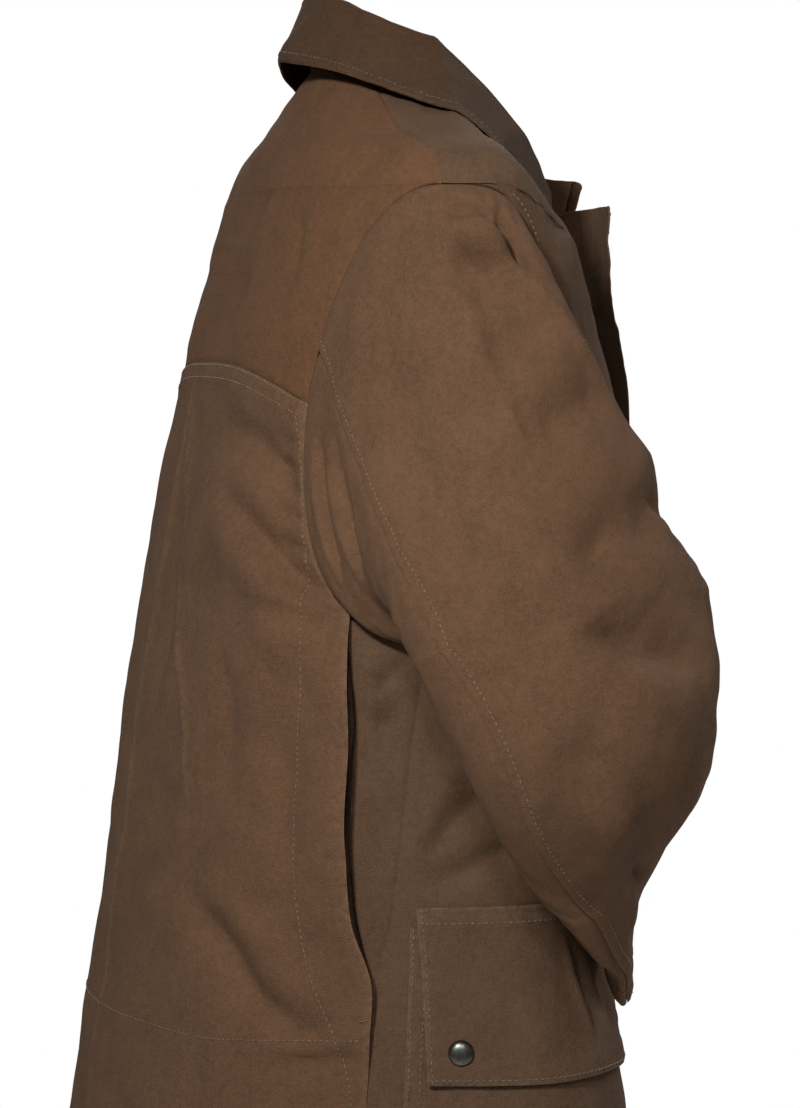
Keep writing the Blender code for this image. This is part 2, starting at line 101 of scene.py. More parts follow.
# Degrees inside the underlay, and levels, over which the back rises from the form and stands open
PLEAT_RISE = (18.0, 3.0)
PLEAT_BELOW, PLEAT_ABOVE = (0.22, 0.03), (4.14, 4.29)
PLEAT_OPENS, PLEAT_CLOSES = 0.6, (3.4, 4.2)
EDGE_SUNK, EDGE_SUNK_WIDE = 0.0014, 0.004
GUSSET_UNDER = 13.0
GUSSET_DEEP = 0.013
# Levels by which the underlay tops the underarm, degrees of its lip, levels where it comes up again
GUSSET_ABOVE, GUSSET_LIP, GUSSET_SHALLOWS = 0.16, (-2.0, -0.1), (3.75, 4.1)

# Fronts: how far each runs past centre front; level and stand of the left front's free edge
FRONT_LAP = 0.030
LAPEL = (
    (0.0, 0.0060),
    (4.0, 0.0070),
    (5.0, 0.0270),
    (6.0, 0.0430),
    (7.0, 0.0450),
    (8.0, 0.0490),
)
LAPEL_STARTS, LAPEL_WIDENS = 153.0, 11.0
LAPEL_RAISE = 0.016
# Levels over which the lapel widens and rises
LAPEL_WIDE_LEVELS, LAPEL_RAISE_LEVELS = (2.4, 4.0), (6.4, 8.0)

# Collar: angle at the neck, rise of the fold, fold outward, edge angle, edge level, edge stand
COLLAR = (
    (0.0, 0.046, -0.004, 0.0, 7.80, 0.020),
    (45.0, 0.042, -0.003, 45.0, 7.64, 0.011),
    (90.0, 0.034, -0.001, 89.0, 7.34, 0.0034),
    (110.0, 0.032, 0.000, 108.0, 7.22, 0.0034),
    (128.0, 0.030, 0.000, 125.0, 7.26, 0.0034),
    (150.0, 0.027, 0.001, 147.0, 7.46, 0.0038),
    (166.0, 0.020, 0.003, 160.0, 7.50, 0.0070),
)
COLLAR_FOLD = 0.0045
COLLAR_BOW = 0.010
COLLAR_LIES = 0.8
COLLAR_SUNK, COLLAR_INSIDE = 0.0030, 0.0022

# Sleeve rings below the cap: centre x, y, z, half wide, half thin, roll in degrees
SLEEVE = (
    ("bicep", -0.282, -0.018, -0.315, 0.090, 0.048, 0.0),
    ("elbow", -0.303, -0.034, -0.386, 0.073, 0.048, 5.0),
    ("forearm", -0.257, -0.057, -0.440, 0.060, 0.031, 50.0),
    ("wrist", -0.216, -0.0700, -0.478, 0.052, 0.0130, 80.0),
    ("cuff", -0.186, -0.0815, -0.504, 0.048, 0.0085, 84.0),
)
CUFF = 5.0
CAP_LEAVE = (-0.90, -0.05, -0.42)
CAP_FULL = 0.130
CAP_LAND = 0.120

# Sleeve seams: ring, turn of the back seam, turn of the front seam
SLEEVE_SEAMS = (
    (0.00, 283.5, 120.0),
    (0.42, 281.5, 125.0),
    (0.63, 285.5, 128.0),
    (0.87, 295.5, 131.0),
    (1.21, 298.5, 133.0),
    (1.80, 302.5, 137.0),
    (2.27, 307.0, 139.0),
    (2.75, 303.0, 140.0),
    (3.40, 293.5, 140.0),
    (5.00, 286.0, 140.0),
)
SLEEVE_TUCK = 2.4

# Largest folds of the back: from angle, level, to angle, level, reach in levels, rise
BACK_FOLDS = (
    (14.0, 4.52, 38.0, 4.25, 0.22, 0.005),
    (-34.0, 4.42, -46.0, 4.15, 0.20, 0.003),
    (30.0, 2.00, 52.0, 1.20, 0.28, 0.006),
    (-38.0, 1.70, -54.0, 1.00, 0.24, 0.004),
)
FOLD_DEGREES = 33.0

# Largest folds of a sleeve: from turn, ring, to turn, ring, reach in rings, rise
SLEEVE_FOLDS = (
    (66.0, 0.70, 108.0, 0.76, 0.16, -0.005),
    (-46.0, 0.60, -28.0, 1.30, 0.22, -0.004),
    (58.0, 2.10, 80.0, 2.30, 0.34, -0.005),
)
SLEEVE_DEGREES = 64.0

# Pocket and flap: angles and levels of their edges
POCKET_BACK, POCKET_FRONT = 74.2, 151.0
POCKET_FOOT, POCKET_MOUTH = 0.35, 2.10
POCKET_STAND = 0.015
# Where the front is calm under the pocket: angles of its two sides, levels of its foot and head
POCKET_ZONE = ((71.0, 76.0), (149.0, 154.0), (0.2, 0.4), (2.2, 2.45))
FLAP_BACK, FLAP_FRONT = 75.3, 150.0
FLAP_SLANT = 2.6
FLAP_CLEAR = 0.0004
FLAP_FOOT, FLAP_ROOT = 1.33, 2.22
SNAP_PLACES = (("back", 82.9, 1.48), ("front", 144.0, 1.48))
SNAP_RADIUS = 0.0075
SNAP_CROWN = 0.0036
SNAP_LIFT = 0.0012
SNAP_SIDES = 36
# Half section of a cap from the middle of its crown to its foot: radius and height as shares
SNAP_PROFILE = (
    (0.00, 1.00), (0.20, 0.99), (0.40, 0.95), (0.58, 0.87), (0.72, 0.76), (0.83, 0.62), (0.91, 0.46),
    (0.965, 0.30), (0.99, 0.16), (1.00, 0.05), (0.985, -0.03), (0.94, -0.07), (0.60, -0.08), (0.00, -0.08),
)

# Creases of the body: half width and depth in millimetres, then places as angles and levels. Each has
# a ridge on the left of its course; one with a depth below zero is itself a ridge.
BACK_CREASES = (
    (10, 8.7, (48, 4.6), (34, 4.71), (19, 4.75), (-1, 4.74)),
    (9, 8.1, (62, 4.19), (48.5, 4.28), (34, 4.43), (10, 4.58)),
    (8, 4.2, (62, 4.04), (50, 4.09), (38, 4.12)),
    (12, 4.8, (-1, 4.56), (3, 4.04), (8, 3.2)),
    (9, 8.7, (25, 2.28), (39, 1.97), (48.5, 1.69), (66, 1.44)),
    (10, 5, (22, 2.42), (12, 2.25), (3, 2.08)),
    (12, 3.6, (26, 3.95), (34, 3.38), (33, 2.75)),
    (10, 3.6, (23, 2.85), (8, 2.35)),
    (5, 3.6, (50, 1.4), (60, 1.42), (68, 1.46)),
    (16, 5.6, (42, 1.1), (52, 0.75), (60, 0.35)),
    (18, 5, (12, 1.3), (15, 0.8), (18, 0.25)),
    (12, 3.9, (46, 3.55), (50, 2.9), (50, 2.25)),
    (4.5, 3.1, (31, 4.79), (45, 4.81)),
    (4.5, 3.4, (32, 4.69), (46, 4.72)),
    (4.5, 3.1, (34, 4.61), (48, 4.63)),
    (4.5, 3.1, (37, 4.52), (50, 4.53)),
    (4.5, 2.8, (40, 4.41), (52, 4.4)),
    (10, 7.8, (-48, 4.52), (-40, 4.62), (-27, 4.62)),
    (9, 7.3, (-61, 4.14), (-50, 4.24), (-40, 4.32), (-29, 4.34)),
    (12, 4.2, (-29, 3.95), (-35, 3.2), (-38, 2.55)),
    (10, 7.8, (-65, 1.46), (-46, 1.74), (-27, 2.36)),
    (16, 5, (-36, 1.2), (-48, 0.85), (-58, 0.45)),
    (6, 3.1, (-52, 1.4), (-68, 1.48)),
    (4.5, 2.8, (-33, 4.76), (-46, 4.78)),
    (4.5, 3.1, (-36, 4.6), (-48, 4.61)),
    (4.5, 2.8, (-39, 4.45), (-50, 4.46)),
)
YOKE_CREASES = (
    (12, 2.9, (60, 6.86), (48, 6.3), (35, 5.85)),
    (14, 3.4, (6, 5.52), (2, 5.3), (-1, 5.12)),
    (7, 2.6, (25, 5.84), (28, 5.38)),
    (10, 2.6, (9, 6.14), (1, 5.6)),
    (9, 2.3, (63, 6), (50, 5.9), (38, 5.7)),
    (10, 2.9, (-62, 5.98), (-50, 5.9), (-37, 5.84)),
    (12, 2.9, (-50, 5.5), (-36, 5.47), (-20, 5.44)),
)
FRONT_CREASES = (
    (10, 5.7, (75, 2.48), (82, 2.75), (91, 3.08)),
    (10, 5, (77, 2.3), (86, 2.48), (98, 2.72)),
    (12, 5.2, (100, 4.92), (112, 4.65), (126, 4.25)),
    (14, 5.2, (95, 4.55), (104, 4.05), (113, 3.55)),
    (11, 4.2, (83, 3.95), (90, 3.6), (99, 3.05)),
    (15, 5, (151, 3.45), (136, 3.05), (121, 2.6)),
    (14, 3.5, (168, 4.6), (158, 4.25), (149, 3.9)),
    (10, 2.2, (128, 6.5), (118, 6.1), (109, 5.8)),
    (16, 3.7, (160, 1.8), (165, 1.1), (168, 0.45)),
)
LEFT_FRONT_CREASES = (
    (13, 4.4, (101, 4.98), (114, 4.7), (130, 4.35)),
    (13, 4, (93, 4.45), (105, 3.95), (117, 3.45)),
    (12, 3.6, (81, 3.75), (90, 3.3), (101, 2.85)),
    (10, 3.6, (76, 2.6), (87, 2.85), (100, 3)),
    (15, 4.2, (147, 3.65), (132, 3.1), (115, 2.65)),
    (16, 3, (160, 4.4), (151, 4), (141, 3.55)),
    (10, 1.8, (130, 6.4), (121, 6), (111, 5.72)),
    (18, 3, (162, 2), (159, 1.3), (158, 0.65)),
)
GUSSET_CREASES = (
    (9, 5.3, (67.5, 3.36), (72, 3.46), (78, 3.58)),
    (7, 3.8, (68, 3.64), (77, 3.92)),
    (10, 3.6, (67.5, 2.95), (72, 2.45)),
)
POCKET_CREASES = (
    (10, -1.8, (84, 1.3), (90, 0.5)),
    (12, -2, (112, 1.3), (108, 0.55)),
    (10, -2, (134, 1.3), (138, 0.6)),
)
FLAP_CREASES = (
    (5.5, -2.2, (109, 2.12), (114, 1.42)),
    (5, -2.2, (117, 2.08), (122, 1.38)),
    (6, -2, (125, 2.12), (129, 1.42)),
    (6, -1.7, (136, 2.06), (133, 1.48)),
    (8, -0.8, (84, 2.02), (106, 1.9)),
    (9, -0.8, (92, 1.76), (101, 1.4)),
)
# Pressed fold lines of the back, in angles and levels
PRESSED_LINES = (
    ((-4.0, 5.00), (-3.0, 4.68), (-2.5, 4.34), (-2.0, 3.99), (-1.5, 3.52), (1.0, 2.70), (1.0, 2.14),
     (1.5, 1.60), (2.0, 0.96), (2.4, 0.20)),
    ((-2.6, 4.92), (0.0, 4.55), (5.0, 4.20), (11.0, 3.90), (17.0, 3.58), (21.0, 3.25), (24.0, 2.90),
     (26.0, 2.60)),
)
# Width and rise of a pressed line, and the share of painted highlight along it
PRESSED_WIDE, PRESSED_HIGH, PRESSED_HIGHLIGHT = 0.0026, 0.0014, 0.55
# Creases of the sleeves, with places as turns and rings
SLEEVE_CREASES = (
    (8, 12, (13, 0.1), (19, 0.2), (28, 0.28), (41, 0.33)),
    (7, 6, (14, 0.345), (2, 0.34), (-10, 0.355)),
    (6, 6, (11, 0.16), (4, 0.14), (-5, 0.16)),
    (9, 14, (16, 0.29), (8, 0.275), (0, 0.28), (-18, 0.31)),
    (7, 8.4, (10, 0.12), (16, 0.24), (21, 0.31)),
    (5, 4.6, (-11, 0.27), (0, 0.255)),
    (7, -5, (8, 0.15), (18, 0.27), (28, 0.34), (40, 0.42), (58, 0.46)),
    (10, 5.9, (24, 0.38), (3, 0.43), (-12, 0.47)),
    (10, 6.8, (50, 0.505), (18, 0.56), (-4, 0.6)),
    (8, 5.6, (84, 0.7), (55, 0.72), (40, 0.78), (25, 0.87)),
    (12, 6.2, (52, 0.695), (18, 0.79), (2, 0.87)),
    (14, -5.8, (48, 0.6), (80, 0.6), (114, 0.6)),
    (8, -3.2, (-13, 0.34), (-9, 0.48), (-6, 0.58), (-3, 0.73)),
    (11, 10.3, (-8, 1.17), (13, 1.32), (28, 1.43), (60, 1.6)),
    (10, 6.5, (14, 2.09), (-2, 2.46), (-22, 3.2)),
    (6, 5.1, (-82, 0.22), (-97, 0.41), (-118, 0.52)),
    (6, 5.1, (-89, 0.12), (-107, 0.25), (-126, 0.33)),
    (6, 3.2, (-38, 1.98), (-11, 2.02), (16, 2.09)),
    (6, 3, (-42, 1.86), (-17, 1.88), (6, 1.98)),
    (10, 3.2, (-31, 0.86), (-13, 1.26)),
    (12, 3.5, (-51, 0.24), (-49, 0.58), (-36, 0.8)),
    (10, 3, (-61, 0.71), (-43, 0.94)),
    (10, 4.1, (-12, 2.6), (-16, 3.1), (-22, 3.8)),
    (13, 5.4, (118, 1.6), (158, 1.69), (198, 1.72)),
    (12, 4.9, (124, 2), (165, 2.02), (206, 2.1)),
    (13, 4.3, (130, 1.2), (188, 1.3)),
    (14, 4.3, (206, 0.6), (220, 0.95), (232, 1.3)),
)
LEFT_SLEEVE_CREASES = (
    (8, 9.1, (22, 0.3), (8, 0.26), (-4, 0.28), (-18, 0.32)),
    (7, 7, (12, 0.13), (18, 0.25), (24, 0.33)),
    (7, -5.7, (12, 0.15), (22, 0.29), (34, 0.35), (58, 0.47)),
    (10, 6, (30, 0.4), (6, 0.45), (-14, 0.5)),
    (9, 8.3, (86, 0.74), (56, 0.74), (38, 0.8), (22, 0.9)),
    (14, -5.6, (46, 0.61), (80, 0.62), (112, 0.62)),
    (12, 9.1, (-12, 1.22), (10, 1.36), (30, 1.48), (58, 1.64)),
    (10, 5.7, (12, 2.14), (-4, 2.52), (-20, 3.3)),
    (6, 4.7, (-80, 0.24), (-96, 0.44), (-116, 0.56)),
    (7, 3.4, (-36, 1.92), (-12, 1.96), (14, 2.04)),
    (12, 3.4, (-48, 0.28), (-45, 0.6), (-32, 0.86)),
    (13, 4.9, (116, 1.66), (155, 1.74), (194, 1.76)),
    (12, 4.4, (126, 2.06), (166, 2.1), (208, 2.18)),
    (14, 4.2, (204, 0.66), (222, 1), (236, 1.36)),
)
# Short gathers where the cap is eased into the armhole
CAP_GATHERS = (
    (5.5, 1.4, (-16, 0), (-15, 0.18)),
    (5.5, 2, (-4, 0), (-2, 0.22)),
    (5, 2, (9, 0), (9, 0.2)),
    (5.5, 1.8, (20, 0), (17, 0.22)),
    (5, 1.4, (31, 0), (28, 0.19)),
)

# Metres that measure one degree and one level or ring, for creases and unevenness, and the radius
# that a sleeve has for its unevenness
BODY_DEGREE = 0.0033
BODY_HEIGHTS = (0.0, 0.120, 0.240, 0.330, 0.415, 0.540, 0.680, 0.725, 0.780)
TURN_DEGREE = 0.0012
RING_LENGTHS = (0.0, 0.240, 0.315, 0.390, 0.450, 0.495)
SLEEVE_ROUND = 0.07

# Section of a crease: unit, power of the trough, and height, place and width of the ridge as shares
MILLIMETRE = 0.001
CREASE_POWER = 1.45
RIDGE_HIGH, RIDGE_AWAY, RIDGE_WIDE = 0.40, 1.9, 1.3

# Unevenness of the cloth: height and length of the long waves, then of the short ones
BODY_ROUGH, BODY_WAVE, BODY_SHORT = 0.0007, 0.085, 0.030
BODY_SHORT_SHARE = 0.35
POCKET_ROUGH, FLAP_ROUGH = 0.0003, 0.00035
SLEEVE_WAVES = ((0.0008, 0.080), (0.0003, 0.028))
COLLAR_WAVES = ((0.0009, 0.09), (0.0003, 0.03))

# Edges of a panel in metres: rounding, seam groove, tucked edge, turning and its puckers, wear.
# A turned edge has its rise and how worn it is.
EDGE_ROUND, EDGE_THIN = 0.0011, 0.0006
GROOVE_DEEP, GROOVE_WIDE = 0.0008, 0.0020
TUCK_DEEP, TUCK_REACH = 0.0014, (0.0022, 0.0070)
TURNED_EDGES = {
    "over": (0.0006, 0.25),
    "bold": (0.0009, 0.25),
    "free": (0.0006, 1.0),
    "pressed": (0.0006, 1.0),
}
TURNED_REACH = (0.011, 0.015)
PUCKER_HIGH, PUCKER_PITCH, PUCKER_DRIFT = 0.00022, 0.0105, 0.031
PUCKER_AWAY, PUCKER_WIDE = 0.007, 0.006
PRESS_DEEP, PRESS_REACH = 0.0009, (0.003, 0.009)
WEAR_WIDE = 0.0022

# Seeds of the unevenness, by piece
SEEDS = {
    "back_panel": 11, "back_yoke": 12, "gusset_right": 13, "gusset_left": 13, "front_right": 14,
    "front_left": 15, "sleeve_right": 21, "sleeve_left": 25, "collar": 31, "pocket_right": 41,
    "pocket_left": 42, "flap_right": 43, "flap_left": 44,
}
SHORT_WAVE_SEED = 50

# Columns and rows of the panels: their number and about the length that they share
BACK_COLUMNS, BACK_LOW_ROWS, BACK_ARM_ROWS = (216, 0.46), (56, 0.19), (46, 0.14)
YOKE_COLUMNS, YOKE_ARM_ROWS = (150, 0.40), (52, 0.16)
FRONT_COLUMNS, FRONT_LOW_ROWS = (100, 0.32), (48, 0.19)
UPPER_COLUMNS, UNDER_COLUMNS, CAP_ROWS, CUFF_ROWS = (120, 0.24), (72, 0.19), (60, 0.17), (4, 0.045)
COLLAR_COLUMNS, COLLAR_ROWS, GUSSET_COLUMNS = (28, 0.065), (190, 0.60), (50, 0.09)
POCKET_COLUMNS, POCKET_ROWS, FLAP_COLUMNS, FLAP_ROWS = (66, 0.22), (54, 0.21), (86, 0.22), (50, 0.105)
# Rows in even steps
BACK_OPEN_ROWS, GUSSET_ROWS, FRONT_OPEN_ROWS, FRONT_ARM_ROWS = 86, 90, 66, 80
YOKE_TOP_ROWS, FRONT_TOP_ROWS, TUBE_ROWS = 30, 26, 112
FRONT_LAST_TURN = 9.0

# Distances of the finer rows and columns from an edge, and the share kept clear beyond them
FINE_STEPS = (0.0, 0.0005, 0.0011, 0.0019, 0.0030, 0.0046)
FINE_CLEAR = 1.3

# Small steps that measure a direction: degrees, and levels or rings
SMALL_TURN, SMALL_STEP = 1.0, 0.02

# Stitching: pitch, half length, half width and half height of a stitch, and those of a tack
STITCH_PITCH = 0.0038
STITCH_HALF = 0.00140
STITCH_WIDE = 0.00044
STITCH_HIGH = 0.00034
TACK_PITCH, TACK_HALF = 0.0009, 0.0007
# Distances of stitch rows from the edges that they follow
YOKE_STITCHING = (0.0016, 0.0096)
HEM_STITCHING, FRONT_STITCHING, ARMHOLE_STITCHING = 0.020, 0.006, 0.0068
CUFF_STITCHING, SLEEVE_STITCHING, COLLAR_STITCHING = 0.018, 0.0062, 0.006
POCKET_STITCHING, POCKET_INNER_STITCHING = 0.0022, 0.0090
FLAP_STITCHING, FLAP_ROOT_STITCHING = 0.0030, 0.0098
# Stitch rows away from the edges, in angles and levels
PLEAT_STITCHES = (
    (40.5, 4.93), (47.0, 4.60), (50.0, 4.33), (52.4, 3.95), (53.0, 3.58), (52.4, 3.10), (52.0, 2.77),
    (53.4, 2.35), (56.0, 1.94), (59.4, 1.70), (62.5, 1.52), (65.2, 1.30), (65.9, 1.05),
)
WAIST_STITCHES = (
    (-67.0, 1.53), (-53.5, 1.51), (-37.5, 1.48), (-18.0, 1.49), (0.0, 1.49), (20.0, 1.49), (37.5, 1.48),
    (53.5, 1.51), (67.0, 1.53),
)
CHEST_STITCHES = (
    (110.0, 5.55), (114.0, 5.50), (118.0, 5.45), (122.0, 5.40), (128.0, 5.20), (131.0, 4.80),
    (132.0, 4.20), (132.0, 3.40), (132.0, 2.60),
)
PLEAT_TACK = ((66.4, 1.62), (67.6, 1.63))

# Colours of the cloth and the thread, and shares of them for some panels
CANVAS_DARK = (0.094, 0.048, 0.0258)
CANVAS_BASE = (0.152, 0.0803, 0.0423)
# Lighter colour for worn edges, also used as a painted highlight along pressed lines
CANVAS_WORN_AND_HIGHLIGHT = (0.230, 0.137, 0.080)
THREAD_DARK = (0.095, 0.060, 0.033)
THREAD_LIGHT = (0.200, 0.140, 0.081)
SNAP_DARK = (0.085, 0.086, 0.078)
SNAP_LIGHT = (0.170, 0.172, 0.152)
EVEN_TINT = (1.0, 1.0, 1.0)
# Collar cloth darkened to about half: painted shade on the collar
COLLAR_SHADE_TINT = (0.53, 0.53, 0.52)
YOKE_TINT = (1.02, 0.93, 0.83)
# Fronts, gussets, pockets and flaps: greener, and darker as painted shade of the shadow band on the gusset
FRONT_GREEN_SHADE_TINT = (0.86, 0.92, 0.98)
# Collar thread darkened the same way: painted shade
COLLAR_THREAD_SHADE_TINT = (0.55, 0.55, 0.55)

# Studio: dome, floor, and lights with place, height of the aim, size and power
DOME_COLOUR, DOME_STRENGTH = (1.0, 0.96, 0.90, 1.0), 0.13
WHITE = (1.0, 1.0, 1.0, 1.0)
FLOOR_COLOUR, FLOOR_HALF, FLOOR_BELOW = (0.92, 0.92, 0.91, 1.0), 3.0, 0.70
LIGHTS = (
    ("key", (-1.22, 0.84, 0.52), -0.25, 0.20, 19.6),
    ("front", (-1.60, 0.50, 0.44), -0.25, 0.20, 6.2),
    ("fore", (-1.50, -1.20, 1.60), -0.30, 0.60, 2.0),
    ("facing", (0.80, -2.30, 1.10), -0.30, 1.20, 26.0),
    ("side", (2.40, -0.60, 1.10), -0.30, 1.20, 26.0),
)

# Camera: degrees behind the right side and above it, distance, aim, frame height, lens and sensor
VIEW_BEHIND, VIEW_ABOVE, VIEW_FAR = 15.0, 3.0, 2.6
VIEW_TARGET = (0.0, 0.0, -0.287)
FRAME_HEIGHT = 1108
FOCAL_PIXELS = 4160.0
SENSOR = 24.0


def spline(rows, t):
    """Smooth curve through table rows, at row numbers t."""
    rows = np.asarray(rows, float)
    last = len(rows) - 1
    padded = np.vstack([2 * rows[0] - rows[1], rows, 2 * rows[last] - rows[last - 1]])
    t = np.asarray(t, float)
    low = np.clip(np.floor(t).astype(int), 0, last - 1)
    f = (t - low)[..., None]
    p0, p1, p2, p3 = (padded[low + k] for k in range(4))
    cubic = -p0 + 3 * p1 - 3 * p2 + p3
    square = 2 * p0 - 5 * p1 + 4 * p2 - p3
    return p1 + 0.5 * f * ((p2 - p0) + f * (square + f * cubic))


def curve(table, column, place):
    """Smooth value of a table's column at places along its first column."""
    rows = np.asarray(table, float)
    x, y = rows[:, 0], rows[:, column]
    slope = np.gradient(y, x)
    place = np.clip(np.asarray(place, float), x[0], x[-1])
    k = np.clip(np.searchsorted(x, place, side="right") - 1, 0, len(x) - 2)
    wide = x[k + 1] - x[k]
    f = (place - x[k]) / wide
    value = (2 * f ** 3 - 3 * f ** 2 + 1) * y[k] + (3 * f ** 2 - 2 * f ** 3) * y[k + 1]
    return value + ((f ** 3 - 2 * f ** 2 + f) * slope[k] + (f ** 3 - f ** 2) * slope[k + 1]) * wide


def ease(value, low, high):
    """Zero below low, one above high, smooth between."""
    f = np.clip((np.asarray(value, float) - low) / (high - low), 0.0, 1.0)
    return f * f * (3 - 2 * f)


def unit(vectors):
    return vectors / np.maximum(np.linalg.norm(vectors, axis=-1, keepdims=True), 1e-12)


BODY_ROWS = [row[1:] for row in BODY]


def body_point(angle, level):
    """Point of the body form at an angle and a level."""
    angle, level = np.broadcast_arrays(np.radians(angle), np.asarray(level, float))
    row = spline(BODY_ROWS, level)
    z_side, z_back, z_front, half, back, front, square, dip = np.moveaxis(row, -1, 0)
    sine, cosine = np.sin(angle), np.cos(angle)
    behind = cosine > 0
    x = -half * np.sign(sine) * np.abs(sine) ** (2 / square)
    y = np.where(behind, back, front) * np.sign(cosine) * np.abs(cosine) ** (2 / square)
    fall = np.abs(cosine) ** np.where(behind, 2.0, dip)
    fall = np.where(np.abs(angle) > np.pi, 1.0, fall)
    z = z_side + (np.where(behind, z_back, z_front) - z_side) * fall
    return np.stack([x, y, z], -1)


def body_normal(angle, level):
    """Outward direction of the body form."""
    angle, level = np.broadcast_arrays(np.asarray(angle, float), np.asarray(level, float))
    low, high = np.maximum(level - SMALL_STEP, HEM), np.minimum(level + SMALL_STEP, NECK)
    along = body_point(angle + SMALL_TURN, level) - body_point(angle - SMALL_TURN, level)
    up = body_point(angle, high) - body_point(angle, low)
    return unit(np.cross(along, up))


def armhole(turn):
    """Angle and level on the body at a turn round the armhole: top 0, front 90, foot 180."""
    sine, cosine = np.sin(np.radians(turn)), np.cos(np.radians(turn))
    power = np.where((sine > 0) & (cosine > 0), ARMHOLE_SHARP, 1.0)
    level = YOKE + np.sign(cosine) * np.abs(cosine) ** power
    middle = ARMHOLE_FOOT + (ARMHOLE_TOP - ARMHOLE_FOOT) * (level - UNDERARM) / 2
    span = np.where(sine > 0, ARMHOLE_FRONT, ARMHOLE_BACK)
    return middle + span * np.sign(sine) * np.abs(sine) ** power, level


def pleat_edge(level):
    return curve(PLEAT, 1, level)


def side_seam(level):
    return curve(PLEAT, 2, level)


def shoulder_seam(level):
    return SHOULDER_OUT + (SHOULDER_IN - SHOULDER_OUT) * (level - TIP) / (NECK - TIP)


def fold_lift(folds, across, along, degrees):
    """Rise of soft folds; degrees is the angle that measures one step along."""
    lift = np.zeros(np.broadcast(across, along).shape)
    for angle, level, to_angle, to_level, reach, rise in folds:
        run_x, run_y = (to_angle - angle) / degrees, to_level - level
        off_x, off_y = (across - angle) / degrees, along - level
        f = np.clip((off_x * run_x + off_y * run_y) / (run_x ** 2 + run_y ** 2), 0.0, 1.0)
        gap = (off_x - f * run_x) ** 2 + (off_y - f * run_y) ** 2
        lift = lift + rise * np.exp(-gap / reach ** 2)
    return lift


def back_lift(angle, level):
    """How far the back stands off the body form along the free edge of its pleat."""
    edge = pleat_edge(np.minimum(level, UNDERARM))
    under = edge - GUSSET_UNDER
    near = ease(np.abs(angle), under - PLEAT_RISE[0], under - PLEAT_RISE[1])
    proud = ease(np.abs(angle), under, edge)
    inside = ease(level, PLEAT_FOOT - PLEAT_BELOW[0], PLEAT_FOOT - PLEAT_BELOW[1])
    inside = inside * (1 - ease(level, *PLEAT_ABOVE))
    open_part = ease(level, PLEAT_FOOT, PLEAT_FOOT + PLEAT_OPENS) * (1 - ease(level, *PLEAT_CLOSES))
    return inside * near * (CLOTH + 3 * LAYER_GAP) + open_part * proud * PLEAT_STAND


def front_edge(level):
    """Angle of a front's free edge, a set distance past centre front."""
    row = spline(BODY_ROWS, level)
    return CENTRE_FRONT + np.degrees(np.arcsin((FRONT_LAP / row[..., 3]) ** (row[..., 6] / 2)))


def lapel_move(angle, level):
    """How the left front's free edge stands forward of the form and up at the neck."""
    free = ease(np.abs(angle), LAPEL_STARTS - LAPEL_WIDENS * ease(level, *LAPEL_WIDE_LEVELS), CENTRE_FRONT)
    stand = curve(LAPEL, 1, level) * free
    rise = free * ease(level, *LAPEL_RAISE_LEVELS) * LAPEL_RAISE
    return np.stack([0 * stand, -stand, rise], -1)


def sleeve_frame(ring):
    """Centre, wide direction, thin direction and half sizes of a sleeve ring."""
    rows = [row[1:] for row in SLEEVE]
    row = spline(rows, ring)
    ahead = spline(rows, np.asarray(ring) + SMALL_STEP) - spline(rows, np.asarray(ring) - SMALL_STEP)
    along = unit(ahead[..., :3])
    forward = np.array([0.0, -1.0, 0.0])
    fore = unit(forward - (along @ forward)[..., None] * along)
    out = np.cross(along, fore)
    roll = np.radians(row[..., 5])[..., None]
    wide = fore * np.cos(roll) - out * np.sin(roll)
    thin = out * np.cos(roll) + fore * np.sin(roll)
    return row[..., :3], wide, thin, row[..., 3:4], row[..., 4:5], along


def sleeve_point(turn, ring):
    """Point of the right sleeve: ring 0 is the armhole, ring 1 the bicep, on to the cuff."""
    turn, ring = np.broadcast_arrays(np.asarray(turn, float), np.asarray(ring, float))
    tube = np.maximum(ring - 1.0, 0.0)
    centre, wide, thin, half_wide, half_thin, along = sleeve_frame(tube)
    sine, cosine = np.sin(np.radians(turn))[..., None], np.cos(np.radians(turn))[..., None]
    point = centre + wide * half_wide * sine + thin * half_thin * cosine
    out = unit(wide * half_thin * sine + thin * half_wide * cosine)
    point = point + out * fold_lift(SLEEVE_FOLDS, turn, ring, SLEEVE_DEGREES)[..., None]
    start = body_point(*armhole(turn))
    f = np.minimum(ring, 1.0)[..., None]
    leave = unit(np.array(CAP_LEAVE)) * CAP_FULL
    cap = (2 * f ** 3 - 3 * f ** 2 + 1) * start + (f ** 3 - 2 * f ** 2 + f) * leave
    cap = cap + (3 * f ** 2 - 2 * f ** 3) * point + (f ** 3 - f ** 2) * along * CAP_LAND
    return np.where(ring[..., None] < 1.0, cap, point)


def sleeve_normal(turn, ring):
    """Outward direction of the right sleeve."""
    across = sleeve_point(turn + SMALL_TURN, ring) - sleeve_point(turn - SMALL_TURN, ring)
    low, high = np.maximum(ring - SMALL_STEP, 0.0), np.minimum(ring + SMALL_STEP, CUFF)
    along = sleeve_point(turn, high) - sleeve_point(turn, low)
    return unit(np.cross(along, across))


def path_gap(path, px, py):
    """Signed distance from a path of straight legs, and the share of its length at the nearest point."""
    best = np.full(px.shape, np.inf)
    signed, share = np.zeros(px.shape), np.zeros(px.shape)
    for k in range(len(path) - 1):
        leg = path[k + 1] - path[k]
        off_x, off_y = px - path[k, 0], py - path[k, 1]
        f = np.clip((off_x * leg[0] + off_y * leg[1]) / (leg @ leg), 0.0, 1.0)
        gap_x, gap_y = off_x - f * leg[0], off_y - f * leg[1]
        gap = np.hypot(gap_x, gap_y)
        closer = gap < best
        best = np.where(closer, gap, best)
        signed = np.where(closer, np.sign(gap_y * leg[0] - gap_x * leg[1]), signed)
        share = np.where(closer, (k + f) / (len(path) - 1), share)
    return best * signed, share


